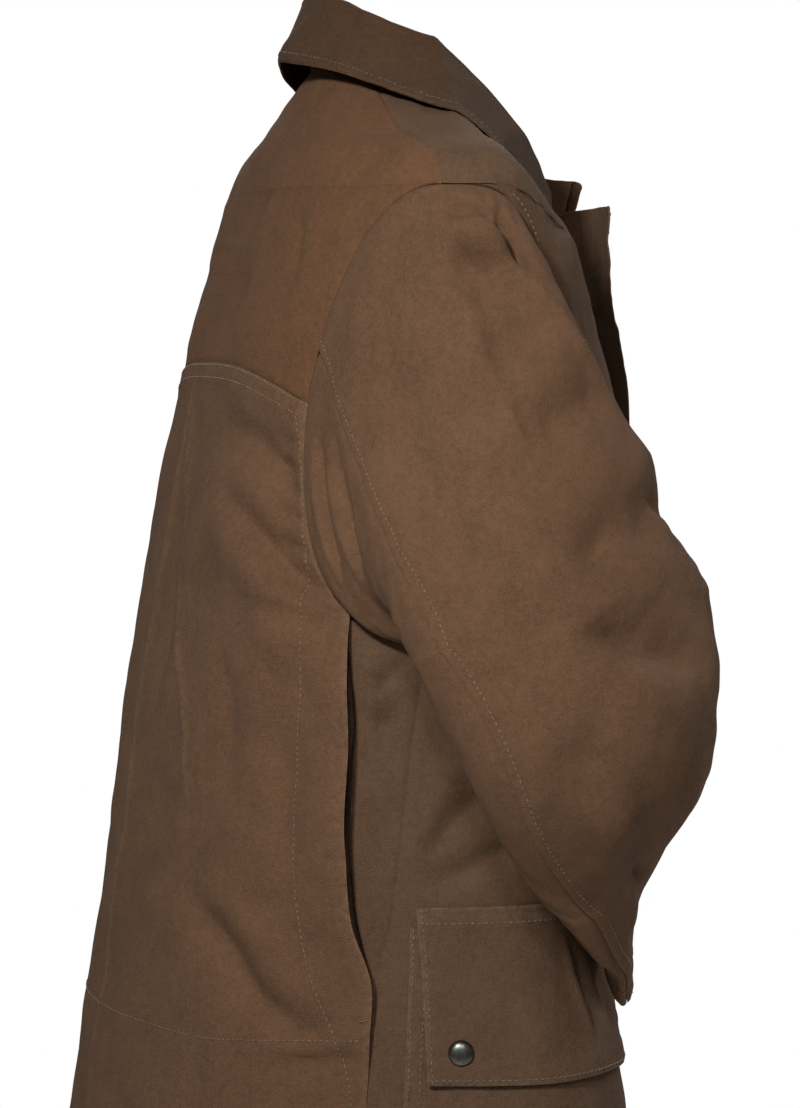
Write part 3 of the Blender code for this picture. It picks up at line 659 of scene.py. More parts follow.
def crease_lift(creases, x, y, degree, lengths):
    """Lift of creases on a flat plan: each a soft trough with a ridge beside it, fading at its ends."""
    lift = np.zeros(x.shape)
    steps = np.arange(len(lengths))
    for wide, deep, *places in creases:
        wide, deep, places = wide * MILLIMETRE, deep * MILLIMETRE, np.array(places)
        corners = np.stack([places[:, 0] * degree, np.interp(places[:, 1], steps, lengths)], -1)
        path = spline(corners, np.linspace(0, len(corners) - 1, 5 * len(corners) - 4))
        low, high = path.min(0) - 5 * wide, path.max(0) + 5 * wide
        near = (x > low[0]) & (x < high[0]) & (y > low[1]) & (y < high[1])
        gap, share = path_gap(path, x[near], y[near])
        fade = ease(share, -0.02, 0.30) * (1 - ease(share, 0.70, 1.02))
        trough = np.exp(-np.abs(gap / wide) ** CREASE_POWER)
        ridge = np.exp(-((gap - RIDGE_AWAY * wide) / (RIDGE_WIDE * wide)) ** 2)
        lift[near] += deep * fade * (RIDGE_HIGH * ridge - trough)
    return lift


def unevenness(x, y, seed, length):
    """Smooth irregular field of about plus or minus one."""
    rng = np.random.default_rng(seed)
    total = np.zeros(x.shape)
    for _ in range(12):
        way, phase = rng.uniform(0.0, 2 * math.pi, 2)
        size = length * rng.uniform(0.6, 1.7)
        total = total + np.sin((x * math.cos(way) + y * math.sin(way)) * 2 * math.pi / size + phase)
    return total / 3.0


def two_waves(x, y, seeds, waves):
    """Long and short unevenness together."""
    return sum(high * unevenness(x, y, seed, length) for seed, (high, length) in zip(seeds, waves))


def dense_ends(count, length, first=True, last=True):
    """Shares from 0 to 1 in even steps, with finer ones beside the ends of a length in metres."""
    fine = np.array(FINE_STEPS) / length
    clear = fine[-1] * FINE_CLEAR
    shares = np.linspace(0.0, 1.0, count + 1)
    if first:
        shares = np.concatenate([fine, shares[shares > clear]])
    if last:
        shares = np.concatenate([shares[shares < 1 - clear], (1 - fine)[::-1]])
    return shares


def spread(levels, left, right, shares):
    """Angle and level grids between two side edges."""
    left, right = np.asarray(left, float)[:, None], np.asarray(right, float)[:, None]
    return left + (right - left) * shares, np.repeat(np.asarray(levels)[:, None], len(shares), 1)


def grid_normal(points):
    return unit(np.cross(np.gradient(points, axis=1), np.gradient(points, axis=0)))


def reaches(points):
    """Distance of each grid point from the grid's left, right, low and high edges."""
    steps = np.linalg.norm(np.diff(points, axis=1), axis=-1)
    left = np.pad(np.cumsum(steps, 1), ((0, 0), (1, 0)))
    steps = np.linalg.norm(np.diff(points, axis=0), axis=-1)
    low = np.pad(np.cumsum(steps, 0), ((1, 0), (0, 0)))
    return {"left": left, "right": left[:, -1:] - left, "low": low, "high": low[-1:] - low}


class Panel:
    """A piece of cloth on a grid: its outer face, its edges' distances and its place on the form."""

    def __init__(self, name, base, across, along, lift, edges, flip, thick=CLOTH_SHOWS, normal=None):
        self.name, self.flip, self.thick = name, flip, thick
        self.across, self.along = across, along
        self.reach = reaches(base)
        self.edges = edges
        raised, self.wear, closing = self.edge_lift(base.shape[:2])
        normal = grid_normal(base) if normal is None else normal
        self.outer = base + normal * (lift + raised)[..., None]
        self.normal = grid_normal(self.outer)
        self.inner = self.outer - self.normal * (thick - closing)[..., None]
        self.stitch_points = []

    def edge_lift(self, shape):
        """Seam grooves, turned edges and puckers along the four edges."""
        lift, wear, closing = np.zeros(shape), np.zeros(shape), np.zeros(shape)
        for side, kind in self.edges.items():
            away = self.reach[side]
            run = self.reach["low" if side in ("left", "right") else "left"]
            rounding = np.exp(-(away / EDGE_ROUND) ** 2)
            if kind == "seam":
                lift -= GROOVE_DEEP * np.exp(-(away / GROOVE_WIDE) ** 2)
            if kind == "tucked":
                lift -= TUCK_DEEP * (1 - ease(away, *TUCK_REACH))
            if kind in TURNED_EDGES:
                rise, lighter_share = TURNED_EDGES[kind]
                ripple = np.sin(run * 2 * math.pi / PUCKER_PITCH + 2.2 * np.sin(run / PUCKER_DRIFT))
                lift += rise * (1 - ease(away, *TURNED_REACH)) - EDGE_THIN * rounding
                lift += PUCKER_HIGH * ripple * np.exp(-((away - PUCKER_AWAY) / PUCKER_WIDE) ** 2)
                closing += EDGE_THIN * rounding
                wear = np.maximum(wear, lighter_share * np.exp(-away / WEAR_WIDE))
            if kind == "pressed":
                lift -= PRESS_DEEP * (1 - ease(away, *PRESS_REACH))
        return lift, wear, closing

    def sample(self, row, column):
        """Point and normal of the outer face at fractional rows and columns."""
        rows, columns = self.across.shape
        r = np.clip(np.floor(row).astype(int), 0, rows - 2)
        c = np.clip(np.floor(column).astype(int), 0, columns - 2)
        f, g = (row - r)[:, None], (column - c)[:, None]

        def blend(grid):
            low = grid[r, c] * (1 - g) + grid[r, c + 1] * g
            high = grid[r + 1, c] * (1 - g) + grid[r + 1, c + 1] * g
            return low * (1 - f) + high * f

        return blend(self.outer), unit(blend(self.normal))

    def beside(self, side, distance, start=0.0, end=1.0):
        """Line on the cloth at a distance from one of its edges, between two shares of its length."""
        reach = self.reach[side]
        sideways = side in ("left", "right")
        lines = reach if sideways else reach.T
        order = slice(None) if side in ("left", "low") else slice(None, None, -1)
        index = np.arange(lines.shape[1])[order]
        place = np.array([np.interp(distance, line[order], index) for line in lines])
        step = np.arange(len(lines), dtype=float)
        first, last = int(start * (len(lines) - 1)), int(end * (len(lines) - 1)) + 1
        place, step = place[first:last], step[first:last]
        return self.sample(step, place) if sideways else self.sample(place, step)

    def through(self, places):
        """Line on the cloth through places given as across and along."""
        places = np.asarray(places, float)
        dense = spline(places, np.linspace(0, len(places) - 1, 60 * len(places)))
        levels = self.along[:, 0]
        order = np.argsort(levels)
        row = np.interp(dense[:, 1], levels[order], np.arange(len(levels))[order])
        column = np.empty(len(row))
        count = self.across.shape[1]
        for k, r in enumerate(row):
            low = min(int(r), len(levels) - 2)
            line = self.across[low] + (self.across[low + 1] - self.across[low]) * (r - low)
            column[k] = np.interp(dense[k, 0], line, np.arange(count))
        return self.sample(row, column)

    def sew(self, line, pitch=STITCH_PITCH, half=STITCH_HALF):
        """Adds a row of stitches along a line."""
        points, normals = line
        steps = np.linalg.norm(np.diff(points, axis=0), axis=1)
        run = np.concatenate([[0.0], np.cumsum(steps)])
        middle = np.arange(pitch / 2, run[-1], pitch)
        rng = np.random.default_rng(len(middle))
        middle = middle + rng.uniform(-0.06, 0.06, len(middle)) * pitch

        def at(place, values):
            return np.stack([np.interp(place, run, values[:, k]) for k in range(3)], -1)

        size = half * rng.uniform(0.9, 1.08, len(middle))
        ahead = unit(at(middle + size, points) - at(middle - size, points))
        normal = unit(at(middle, normals))
        self.stitch_points.append((at(middle, points), ahead, normal, size))


def finish_piece(name, mesh, node=None):
    """Puts a piece on the jacket."""
    made = bpy.data.objects.new(name, mesh)
    bpy.context.scene.collection.objects.link(made)
    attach(made, "root")
    if node:
        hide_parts(node)
    return made


def new_mesh(name, points, faces, material, sharp=50.0):
    mesh = bpy.data.meshes.new(name)
    mesh.from_pydata(points.tolist(), [], faces if isinstance(faces, list) else faces.tolist())
    mesh.materials.append(material)
    mesh.shade_smooth()
    mesh.set_sharp_from_angle(angle=math.radians(sharp))
    return mesh


def show_cloth(panel, material):
    """Mesh of a panel: outer face, inner face and rim, with cloth coordinates in metres."""
    skins = [panel.outer, panel.inner]
    across, along = panel.reach["left"], panel.reach["low"]
    wear = panel.wear
    if panel.flip < 0:
        skins = [(skin * (-1.0, 1.0, 1.0))[:, ::-1] for skin in skins]
        across, along, wear = across[:, ::-1], along[:, ::-1], wear[:, ::-1]
    rows, columns = across.shape
    count = rows * columns
    index = np.arange(count).reshape(rows, columns)
    quads = np.stack([index[:-1, :-1], index[:-1, 1:], index[1:, 1:], index[1:, :-1]], -1).reshape(-1, 4)
    rim = np.concatenate([index[0, :-1], index[:-1, -1], index[-1, :0:-1], index[:0:-1, 0]])
    after = np.roll(rim, -1)
    walls = np.stack([after, rim, rim + count, after + count], -1)
    faces = np.concatenate([quads, quads[:, ::-1] + count, walls])
    points = np.concatenate([skin.reshape(-1, 3) for skin in skins])
    mesh = new_mesh(panel.name, points, faces, material)
    plan = np.tile(np.stack([across, along], -1).reshape(-1, 2), (2, 1))
    layer = mesh.uv_layers.new(name="UVMap")
    layer.data.foreach_set("uv", plan[faces.reshape(-1)].astype(np.float32).reshape(-1))
    lightening = mesh.attributes.new("wear", "FLOAT", "POINT")
    lightening.data.foreach_set("value", np.tile(wear.reshape(-1), 2).astype(np.float32))
    return mesh


def show_stitches(panel, material):
    """One joined mesh of all the stitches on a panel: short tapered lozenges of thread."""
    place, ahead, normal, size = (np.concatenate(part) for part in zip(*panel.stitch_points))
    side = unit(np.cross(normal, ahead))
    turns = np.radians(np.arange(5) * 72.0 + 90.0)
    ring = np.stack([np.cos(turns) * STITCH_WIDE, np.sin(turns) * STITCH_HIGH], -1)
    middle = place + normal * STITCH_HIGH * 0.55
    verts = [middle - ahead * size[:, None] - normal * STITCH_HIGH * 0.7]
    for share in (-0.55, 0.55):
        for wide, high in ring:
            verts.append(middle + ahead * (size * share)[:, None] + side * wide + normal * high)
    verts.append(middle + ahead * size[:, None] - normal * STITCH_HIGH * 0.7)
    verts = np.stack(verts, 1) * (panel.flip, 1.0, 1.0)
    faces, sides = [], []
    for k in range(5):
        after = (k + 1) % 5
        faces.append((0, 1 + after, 1 + k))
        faces.append((11, 6 + k, 6 + after))
        sides.append((1 + k, 1 + after, 6 + after, 6 + k))
    if panel.flip < 0:
        faces = [face[::-1] for face in faces]
        sides = [face[::-1] for face in sides]
    start = (np.arange(len(verts)) * 12)[:, None, None]
    tips = (np.array(faces)[None] + start).reshape(-1, 3).tolist()
    long_sides = (np.array(sides)[None] + start).reshape(-1, 4).tolist()
    return new_mesh("stitches_" + panel.name, verts.reshape(-1, 3), tips + long_sides, material, 80.0)


def show(panel, node, material, thread):
    """Adds a panel and its stitching to the scene."""
    made = finish_piece("cloth_" + panel.name, show_cloth(panel, material), node)
    if panel.stitch_points:
        finish_piece("stitches_" + panel.name, show_stitches(panel, thread))


class Paint:
    """A new material and the nodes that make its look."""

    def __init__(self, name):
        self.material = bpy.data.materials.new(name)
        self.material.use_nodes = True
        self.tree = self.material.node_tree
        self.shader = self.tree.nodes["Principled BSDF"]

    def node(self, kind, **settings):
        """Node with its sockets or properties set."""
        new = self.tree.nodes.new("ShaderNode" + kind)
        for key, value in settings.items():
            if key in new.inputs:
                new.inputs[key].default_value = value
            else:
                setattr(new, key, value)
        return new

    def feed(self, socket, value):
        """Gives a socket another one's output or a plain value."""
        if isinstance(value, bpy.types.NodeSocket):
            self.tree.links.new(value, socket)
        else:
            socket.default_value = value

    def set(self, name, value):
        """Gives the shader's own socket its value."""
        self.feed(self.shader.inputs[name], value)

    def texture(self, kind, place, **settings):
        """Texture at a place."""
        made = self.node("Tex" + kind, **settings)
        self.feed(made.inputs["Vector"], place)
        return made.outputs["Fac"]

    def bands(self, way, place, scale, distortion, detail):
        """Bands of threads."""
        return self.texture("Wave", place, wave_type="BANDS", bands_direction=way, Scale=scale,
                            Distortion=distortion, Detail=detail)

    def noise(self, place, scale, detail, roughness):
        return self.texture("Noise", place, Scale=scale, Detail=detail, Roughness=roughness)

    def mix(self, factor, first, second):
        """Mixes two colours."""
        mixer = self.node("Mix", data_type="RGBA")
        for socket, value in ((0, factor), (6, first), (7, second)):
            self.feed(mixer.inputs[socket], value)
        return mixer.outputs[2]

    def ramp(self, source, low, high, floor=0.0, roof=1.0):
        """Stretches a range to another."""
        made = self.node("MapRange", **{"From Min": low, "From Max": high, "To Min": floor, "To Max": roof})
        self.feed(made.inputs["Value"], source)
        return made.outputs["Result"]

    def math(self, operation, first, second):
        made = self.node("Math", operation=operation)
        self.feed(made.inputs[0], first)
        self.feed(made.inputs[1], second)
        return made.outputs[0]

    def bump(self, height, strength, distance):
        """Relief of the surface."""
        made = self.node("Bump", Strength=strength, Distance=distance)
        self.feed(made.inputs["Height"], height)
        self.set("Normal", made.outputs["Normal"])


def tinted(colour, tint):
    """A colour times a tint, as a shader takes it."""
    return tuple(t * c for t, c in zip(tint, colour)) + (1.0,)


def canvas_material(name, tint):
    """Brown cotton canvas: plain weave, fine brushed nap, uneven dye, lighter worn edges and a painted
    highlight along the pressed lines.
    """
    paint = Paint(name)
    plan = paint.node("UVMap", uv_map="UVMap").outputs["UV"]
    place = paint.node("TexCoord").outputs["Object"]
    warp, weft = paint.bands("X", plan, 330.0, 1.2, 1.0), paint.bands("Y", plan, 300.0, 1.2, 1.0)
    weave = paint.math("MULTIPLY", warp, weft)
    nap = paint.noise(place, 760.0, 3.0, 0.70)
    slub = paint.noise(place, 240.0, 3.0, 0.6)
    dye = paint.noise(place, 38.0, 5.0, 0.62)
    wash = paint.noise(place, 7.0, 3.0, 0.5)
    tone = paint.ramp(dye, 0.3, 0.7, 0.42, 0.82)
    for source, low, high, floor, roof in (
            (wash, 0.3, 0.7, -0.12, 0.12), (nap, 0.3, 0.7, -0.42, 0.42), (slub, 0.3, 0.7, -0.26, 0.26),
            (weave, 0.0, 1.0, -0.16, 0.20)):
        tone = paint.math("ADD", tone, paint.ramp(source, low, high, floor, roof))
    body = paint.mix(tone, tinted(CANVAS_DARK, tint), tinted(CANVAS_BASE, tint))
    # Lighter colour where the attribute is high: real wear at turned edges, and a painted highlight along
    # the back's pressed lines
    lightening = paint.node("Attribute", attribute_name="wear").outputs["Fac"]
    lighter_share = paint.math("MULTIPLY", lightening, paint.ramp(slub, 0.35, 0.65, 0.10, 0.62))
    paint.set("Base Color", paint.mix(lighter_share, body, tinted(CANVAS_WORN_AND_HIGHLIGHT, tint)))
    paint.set("Roughness", paint.ramp(slub, 0.3, 0.7, 0.78, 0.94))
    paint.set("Specular IOR Level", 0.18)
    paint.set("Sheen Weight", 0.04)
    paint.set("Sheen Roughness", 0.45)
    paint.set("Sheen Tint", (0.75, 0.58, 0.44, 1.0))
    height = paint.math("ADD", weave, paint.ramp(nap, 0.2, 0.8, -0.6, 0.6))
    height = paint.math("ADD", height, paint.ramp(slub, 0.2, 0.8, -0.7, 0.7))
    paint.bump(height, 0.55, 0.0006)
    return paint.material


def thread_material(name, tint):
    """Tan twisted sewing thread."""
    paint = Paint(name)
    place = paint.node("TexCoord").outputs["Object"]
    tone = paint.ramp(paint.noise(place, 420.0, 2.0, 0.5), 0.3, 0.7)
    paint.set("Base Color", paint.mix(tone, tinted(THREAD_DARK, tint), tinted(THREAD_LIGHT, tint)))
    paint.set("Roughness", 0.62)
    paint.set("Sheen Weight", 0.15)
    paint.bump(paint.bands("DIAGONAL", place, 420.0, 2.0, 2.0), 0.4, 0.0002)
    return paint.material


def snap_material():
    """Gunmetal plating with fine scratches."""
    paint = Paint("snap_metal")
    place = paint.node("TexCoord").outputs["Object"]
    cloud = paint.ramp(paint.noise(place, 420.0, 4.0, 0.6), 0.3, 0.7)
    scratch = paint.noise(place, 1800.0, 2.0, 0.7)
    paint.set("Base Color", paint.mix(cloud, tinted(SNAP_DARK, EVEN_TINT), tinted(SNAP_LIGHT, EVEN_TINT)))
    paint.set("Metallic", 1.0)
    paint.set("Roughness", paint.ramp(scratch, 0.3, 0.7, 0.26, 0.42))
    paint.bump(scratch, 0.08, 0.0003)
    return paint.material


def body_plan(angle, level):
    """Flat plan of the body in metres."""
    return angle * BODY_DEGREE, np.interp(level, np.arange(len(BODY_HEIGHTS)), BODY_HEIGHTS)


def sleeve_plan(turn, ring):
    """Flat plan of a sleeve in metres."""
    return turn * TURN_DEGREE, np.interp(ring, np.arange(len(RING_LENGTHS)), RING_LENGTHS)


def calm(reach, sides, wide=0.022):
    """One inside a panel, falling to zero at the named edges."""
    quiet = 1.0
    for side in sides:
        quiet = quiet * ease(reach[side], 0.001, wide)
    return quiet


def sided(name, flip):
    """Name of a piece on the right side or, mirrored, on the left."""
    return name + ("_right" if flip > 0 else "_left")


def body_panel(name, angle, level, creases, edges, quiet_sides, lift=0.0, flip=1.0, shift=0.0,
               quiet=1.0, rough=BODY_ROUGH):
    """Panel on the body form with its creases."""
    base = body_point(angle, level) + body_normal(angle, level) * np.asarray(lift)[..., None] + shift
    x, y = body_plan(angle, level)
    seeds = (SEEDS[name], SEEDS[name] + SHORT_WAVE_SEED)
    waves = two_waves(x, y, seeds, ((rough, BODY_WAVE), (BODY_SHORT_SHARE * rough, BODY_SHORT)))
    dents = crease_lift(creases, x, y, BODY_DEGREE, BODY_HEIGHTS)
    extra = (waves + dents) * calm(reaches(base), quiet_sides) * quiet
    return Panel(name, base, angle, level, extra, edges, flip)


def back_panel():
    shares = dense_ends(*BACK_COLUMNS)
    low = HEM + (PLEAT_FOOT - HEM) * dense_ends(*BACK_LOW_ROWS, True, False)
    middle = np.linspace(PLEAT_FOOT, armhole(PLEAT_TURN)[1], BACK_OPEN_ROWS)[1:-1]
    turns = PLEAT_TURN + (YOKE_TURN - PLEAT_TURN) * dense_ends(*BACK_ARM_ROWS, False, True)
    plain = np.concatenate([low, middle])
    levels = np.concatenate([plain, armhole(turns)[1]])
    edge = np.concatenate([pleat_edge(plain), armhole(turns)[0]])
    angle, level = spread(levels, -edge, edge, shares)
    lift = back_lift(angle, level) + fold_lift(BACK_FOLDS, angle, level, FOLD_DEGREES)
    x, y = body_plan(angle, level)
    lightening = np.zeros(angle.shape)
    for line in PRESSED_LINES:
        corners = np.stack(body_plan(*np.array(line).T), -1)
        path = spline(corners, np.linspace(0, len(corners) - 1, 6 * len(corners) - 5))
        gap, share = path_gap(path, x, y)
        fade = ease(share, 0.0, 0.08) * (1 - ease(share, 0.8, 1.0))
        lightening = np.maximum(lightening, np.exp(-(gap / PRESSED_WIDE) ** 2) * fade)
    sunk = np.exp(-((edge[:, None] - np.abs(angle)) * BODY_DEGREE / EDGE_SUNK_WIDE) ** 2)
    lift = lift + PRESSED_HIGH * lightening - EDGE_SUNK * sunk * ease(level, 4.15, 4.45)
    edges = {"low": "free", "high": "bold", "left": "free", "right": "free"}
    panel = body_panel("back_panel", angle, level, BACK_CREASES, edges, ("high",), lift)
    # Pressed lines lightened: a painted highlight along their ridges
    panel.wear = np.maximum(panel.wear, PRESSED_HIGHLIGHT * lightening)
    pleat, tack = np.array(PLEAT_STITCHES), np.array(PLEAT_TACK)
    panel.sew(panel.through(pleat))
    panel.sew(panel.through(pleat * (-1.0, 1.0)))
    panel.sew(panel.through(WAIST_STITCHES))
    for distance in YOKE_STITCHING:
        panel.sew(panel.beside("high", distance))
    panel.sew(panel.beside("low", HEM_STITCHING))
    for sign in (-1.0, 1.0):
        panel.sew(panel.through(tack * (sign, 1.0)), TACK_PITCH, TACK_HALF)
    return panel


def yoke_panel():
    shares = dense_ends(*YOKE_COLUMNS)
    turns = YOKE_TURN + (TIP_TURN - YOKE_TURN) * dense_ends(*YOKE_ARM_ROWS, True, False)
    upper = np.linspace(TIP, NECK, YOKE_TOP_ROWS)[1:]
    levels = np.concatenate([armhole(turns)[1], upper])
    edge = np.concatenate([armhole(turns)[0], shoulder_seam(upper)])
    angle, level = spread(levels, -edge, edge, shares)
    edges = {"low": "seam", "left": "seam", "right": "seam"}
    return body_panel("back_yoke", angle, level, YOKE_CREASES, edges, ("low", "left", "right", "high"))


def gusset_panel(flip):
    levels = np.linspace(PLEAT_FOOT, UNDERARM, GUSSET_ROWS)
    shares = dense_ends(*GUSSET_COLUMNS)
    angle, level = spread(levels, pleat_edge(levels) - GUSSET_UNDER, side_seam(levels), shares)
    top = UNDERARM + GUSSET_ABOVE * (1 - ease(shares, 0.0, 1.0))
    reach = (top - PLEAT_FOOT) / (UNDERARM - PLEAT_FOOT)
    level = PLEAT_FOOT + (level - PLEAT_FOOT) * reach
    across = np.repeat(shares[None], len(levels), 0)
    past = angle - pleat_edge(np.minimum(level, UNDERARM))
    deep = ease(across, 0.0, 0.25) * (1 - ease(past, *GUSSET_LIP))
    deep = deep * ease(level, PLEAT_FOOT + 0.05, PLEAT_FOOT + 0.7) * (1 - ease(level, *GUSSET_SHALLOWS))
    return body_panel(sided("gusset", flip), angle, level, GUSSET_CREASES, {"right": "seam"},
                      ("left", "right", "high"), -GUSSET_DEEP * deep, flip)


def front_panel(flip):
    right = flip > 0
    below = HEM + (PLEAT_FOOT - HEM) * dense_ends(*FRONT_LOW_ROWS, True, False)
    low = np.concatenate([below, np.linspace(PLEAT_FOOT, UNDERARM, FRONT_OPEN_ROWS)[1:-1]])
    turns = np.append(np.linspace(180.0, FRONT_LAST_TURN, FRONT_ARM_ROWS), 0.0)
    upper = np.linspace(TIP, NECK, FRONT_TOP_ROWS)[1:]
    levels = np.concatenate([low, armhole(turns)[1], upper])
    edge = np.concatenate([side_seam(low), armhole(turns)[0], shoulder_seam(upper)])
    angle, level = spread(levels, edge, front_edge(levels), dense_ends(*FRONT_COLUMNS))
    first, last, foot, head = POCKET_ZONE
    pocket = ease(angle, *first) * (1 - ease(angle, *last))
    pocket = pocket * ease(level, *foot) * (1 - ease(level, *head))
    creases = FRONT_CREASES if right else LEFT_FRONT_CREASES
    shift = 0.0 if right else lapel_move(angle, level)
    edges = {"low": "free", "left": "seam", "right": "free"}
    panel = body_panel(sided("front", flip), angle, level, creases, edges, ("left", "high"),
                       flip=flip, shift=shift, quiet=1 - pocket)
    panel.sew(panel.beside("right", FRONT_STITCHING))
    panel.sew(panel.beside("low", HEM_STITCHING))
    arm_first = len(low) / len(levels)
    arm_last = (len(low) + len(turns) - 1) / len(levels)
    panel.sew(panel.beside("left", ARMHOLE_STITCHING, arm_first + 0.05, arm_last - 0.03))
    panel.sew(panel.through(CHEST_STITCHES))
    return panel


def sleeve_panel(upper, flip):
    cap = dense_ends(*CAP_ROWS, True, False)
    hem = CUFF - dense_ends(*CUFF_ROWS, True, False)[:len(FINE_STEPS)]
    rings = np.concatenate([cap, np.linspace(1.0, CUFF, TUBE_ROWS)[1:-1], hem])
    rings = np.unique(rings)[::-1]
    back, front = curve(SLEEVE_SEAMS, 1, rings), curve(SLEEVE_SEAMS, 2, rings)
    if upper:
        turn, ring = spread(rings, back - 360.0, front, dense_ends(*UPPER_COLUMNS))
    else:
        tuck = SLEEVE_TUCK * ease(rings, 0.0, 0.1) * (1 + 4 * ease(rings, 3.4, 4.6))
        turn, ring = spread(rings, front, back + tuck, dense_ends(*UNDER_COLUMNS))
    base = sleeve_point(turn, ring)
    creases = SLEEVE_CREASES if flip > 0 else LEFT_SLEEVE_CREASES
    lift = 0.0
    for wrapped in (turn, turn - 360.0):
        x, y = sleeve_plan(wrapped, ring)
        lift = lift + crease_lift(creases, x, y, TURN_DEGREE, RING_LENGTHS)
        lift = lift + crease_lift(CAP_GATHERS, x, y, TURN_DEGREE, RING_LENGTHS) * ease(ring, 0.0, 0.03)
    ways = np.radians(turn)
    round_x = SLEEVE_ROUND * np.cos(ways)
    round_y = SLEEVE_ROUND * np.sin(ways) + sleeve_plan(turn, ring)[1]
    name = sided("sleeve", flip)
    seed = SEEDS[name]
    waves = two_waves(round_x, round_y, (seed, seed + 1), SLEEVE_WAVES)
    lift = lift * ease(ring, 0.0, 0.06) + waves * ease(ring, 0.0, 0.15)
    lift = lift * (1 - 0.6 * ease(ring, 4.2, 4.8))
    name += "_upper" if upper else "_under"
    edges = {"low": "free", "high": "seam"}
    edges.update({"left": "over", "right": "seam"} if upper else {"left": "seam", "right": "tucked"})
    panel = Panel(name, base, turn, ring, lift, edges, flip, normal=sleeve_normal(turn, ring))
    panel.sew(panel.beside("low", CUFF_STITCHING))
    if upper:
        panel.sew(panel.beside("left", SLEEVE_STITCHING, 0.02, 0.985))
    return panel


def collar_line(angle, row):
    """Points over one section of the collar: up the stand, over the fold, down the fall."""
    rise, fold_out, edge_angle, edge_level, edge_stand = row
    base = body_point(angle, NECK)
    out = unit(base * (1.0, 1.0, 0.0))
    carried = lapel_move(angle, np.array(NECK)) * (angle < 0)
    up = np.array([0.0, 0.0, 1.0])
    foot = base - up * COLLAR_SUNK - out * COLLAR_INSIDE
    crest = base + up * rise + out * fold_out
    edge = body_point(edge_angle, edge_level) + body_normal(edge_angle, edge_level) * edge_stand
    points = [foot + (crest - up * COLLAR_FOLD - foot) * f for f in np.linspace(0.0, 1.0, 14)]
    middle = crest - up * COLLAR_FOLD + out * COLLAR_FOLD
    for turn in np.linspace(160.0, 20.0, 8):
        around = math.radians(turn)
        points.append(middle + (out * math.cos(around) + up * math.sin(around)) * COLLAR_FOLD)
    start = middle + out * COLLAR_FOLD
    for f in dense_ends(*COLLAR_COLUMNS, False, True):
        level = NECK + (edge_level - NECK) * f
        around = angle + (edge_angle - angle) * f
        stand = edge_stand + COLLAR_BOW * (1 - f)
        lying = body_point(around, level) + body_normal(around, level) * stand
        hanging = start + (edge - start) * f
        points.append(hanging + (lying - hanging) * ease(f, 0.0, COLLAR_LIES))
    return [point + carried for point in points]


def collar_panel():
    table = np.array(COLLAR)
    end = table[-1, 0]
    angles = -end + 2 * end * dense_ends(*COLLAR_ROWS)
    lines = []
    for angle in angles:
        row = np.array([float(curve(table, k, abs(angle))) for k in range(1, 6)])
        row[2] = math.copysign(row[2], angle)
        lines.append(collar_line(angle, row))
    base = np.array(lines)
    rows, columns = base.shape[:2]
    across = np.repeat(np.arange(columns, dtype=float)[None], rows, 0)
    along = np.repeat(angles[:, None], columns, 1)
    reach = reaches(base)
    seeds = (SEEDS["collar"], SEEDS["collar"] + 1)
    waves = two_waves(reach["low"], reach["left"], seeds, COLLAR_WAVES) * calm(reach, ("left",), 0.03)
    edges = {"right": "free", "low": "free", "high": "free"}
    panel = Panel("collar", base, across, along, waves, edges, 1.0, DOUBLE_CLOTH)
    panel.sew(panel.beside("right", COLLAR_STITCHING, 0.02, 0.98))
    return panel


def pocket_lift(angle, level):
    """How far the pocket's front stands off the front panel."""
    u = np.clip((angle - POCKET_BACK) / (POCKET_FRONT - POCKET_BACK), 0.0, 1.0)
    v = np.clip((level - POCKET_FOOT) / (POCKET_MOUTH - POCKET_FOOT), 0.0, 1.0)
    full = ease(u, 0.0, 0.35) * (1 - ease(u, 0.65, 1.0))
    full = full * ease(v, 0.0, 0.3) * (1 - ease(v, 0.5, 1.0))
    return LAYER_GAP + CLOTH + POCKET_STAND * full


def flap_lift(angle, level):
    """How far the flap stands off the front panel: on the pocket, down to the panel at its root."""
    over = 1 - ease(level, POCKET_MOUTH + 0.01, POCKET_MOUTH + 0.09)
    return LAYER_GAP + CLOTH + over * (pocket_lift(angle, level) + LAYER_GAP)


def flap_point(angle, level):
    """Point of the flap's face."""
    return body_point(angle, level) + body_normal(angle, level) * flap_lift(angle, level)[..., None]


def pocket_panel(flip):
    levels = POCKET_FOOT + (POCKET_MOUTH - POCKET_FOOT) * dense_ends(*POCKET_ROWS)
    ones = np.ones(len(levels))
    angle, level = spread(levels, POCKET_BACK * ones, POCKET_FRONT * ones, dense_ends(*POCKET_COLUMNS))
    edges = {"low": "pressed", "left": "pressed", "right": "pressed"}
    panel = body_panel(sided("pocket", flip), angle, level, POCKET_CREASES, edges,
                       ("left", "right", "low", "high"), pocket_lift(angle, level), flip, rough=POCKET_ROUGH)
    for side in ("left", "right", "low"):
        panel.sew(panel.beside(side, POCKET_STITCHING, 0.01, 0.99))
        panel.sew(panel.beside(side, POCKET_INNER_STITCHING, 0.04, 0.96))
    return panel


def flap_panel(flip):
    shares = dense_ends(*FLAP_ROWS)
    levels = FLAP_FOOT + (FLAP_ROOT - FLAP_FOOT) * shares
    ones = np.ones(len(levels))
    back = FLAP_BACK + FLAP_SLANT * (1 - shares)
    angle, level = spread(levels, back, FLAP_FRONT * ones, dense_ends(*FLAP_COLUMNS))
    edges = {"low": "free", "left": "free", "right": "free", "high": "pressed"}
    panel = body_panel(sided("flap", flip), angle, level, FLAP_CREASES, edges, ("high", "left"),
                       flap_lift(angle, level) + FLAP_CLEAR, flip, rough=FLAP_ROUGH)
    panel.sew(panel.beside("high", FLAP_ROOT_STITCHING))
    for side in ("left", "right", "low"):
        panel.sew(panel.beside(side, FLAP_STITCHING, 0.01, 0.99))
    return panel


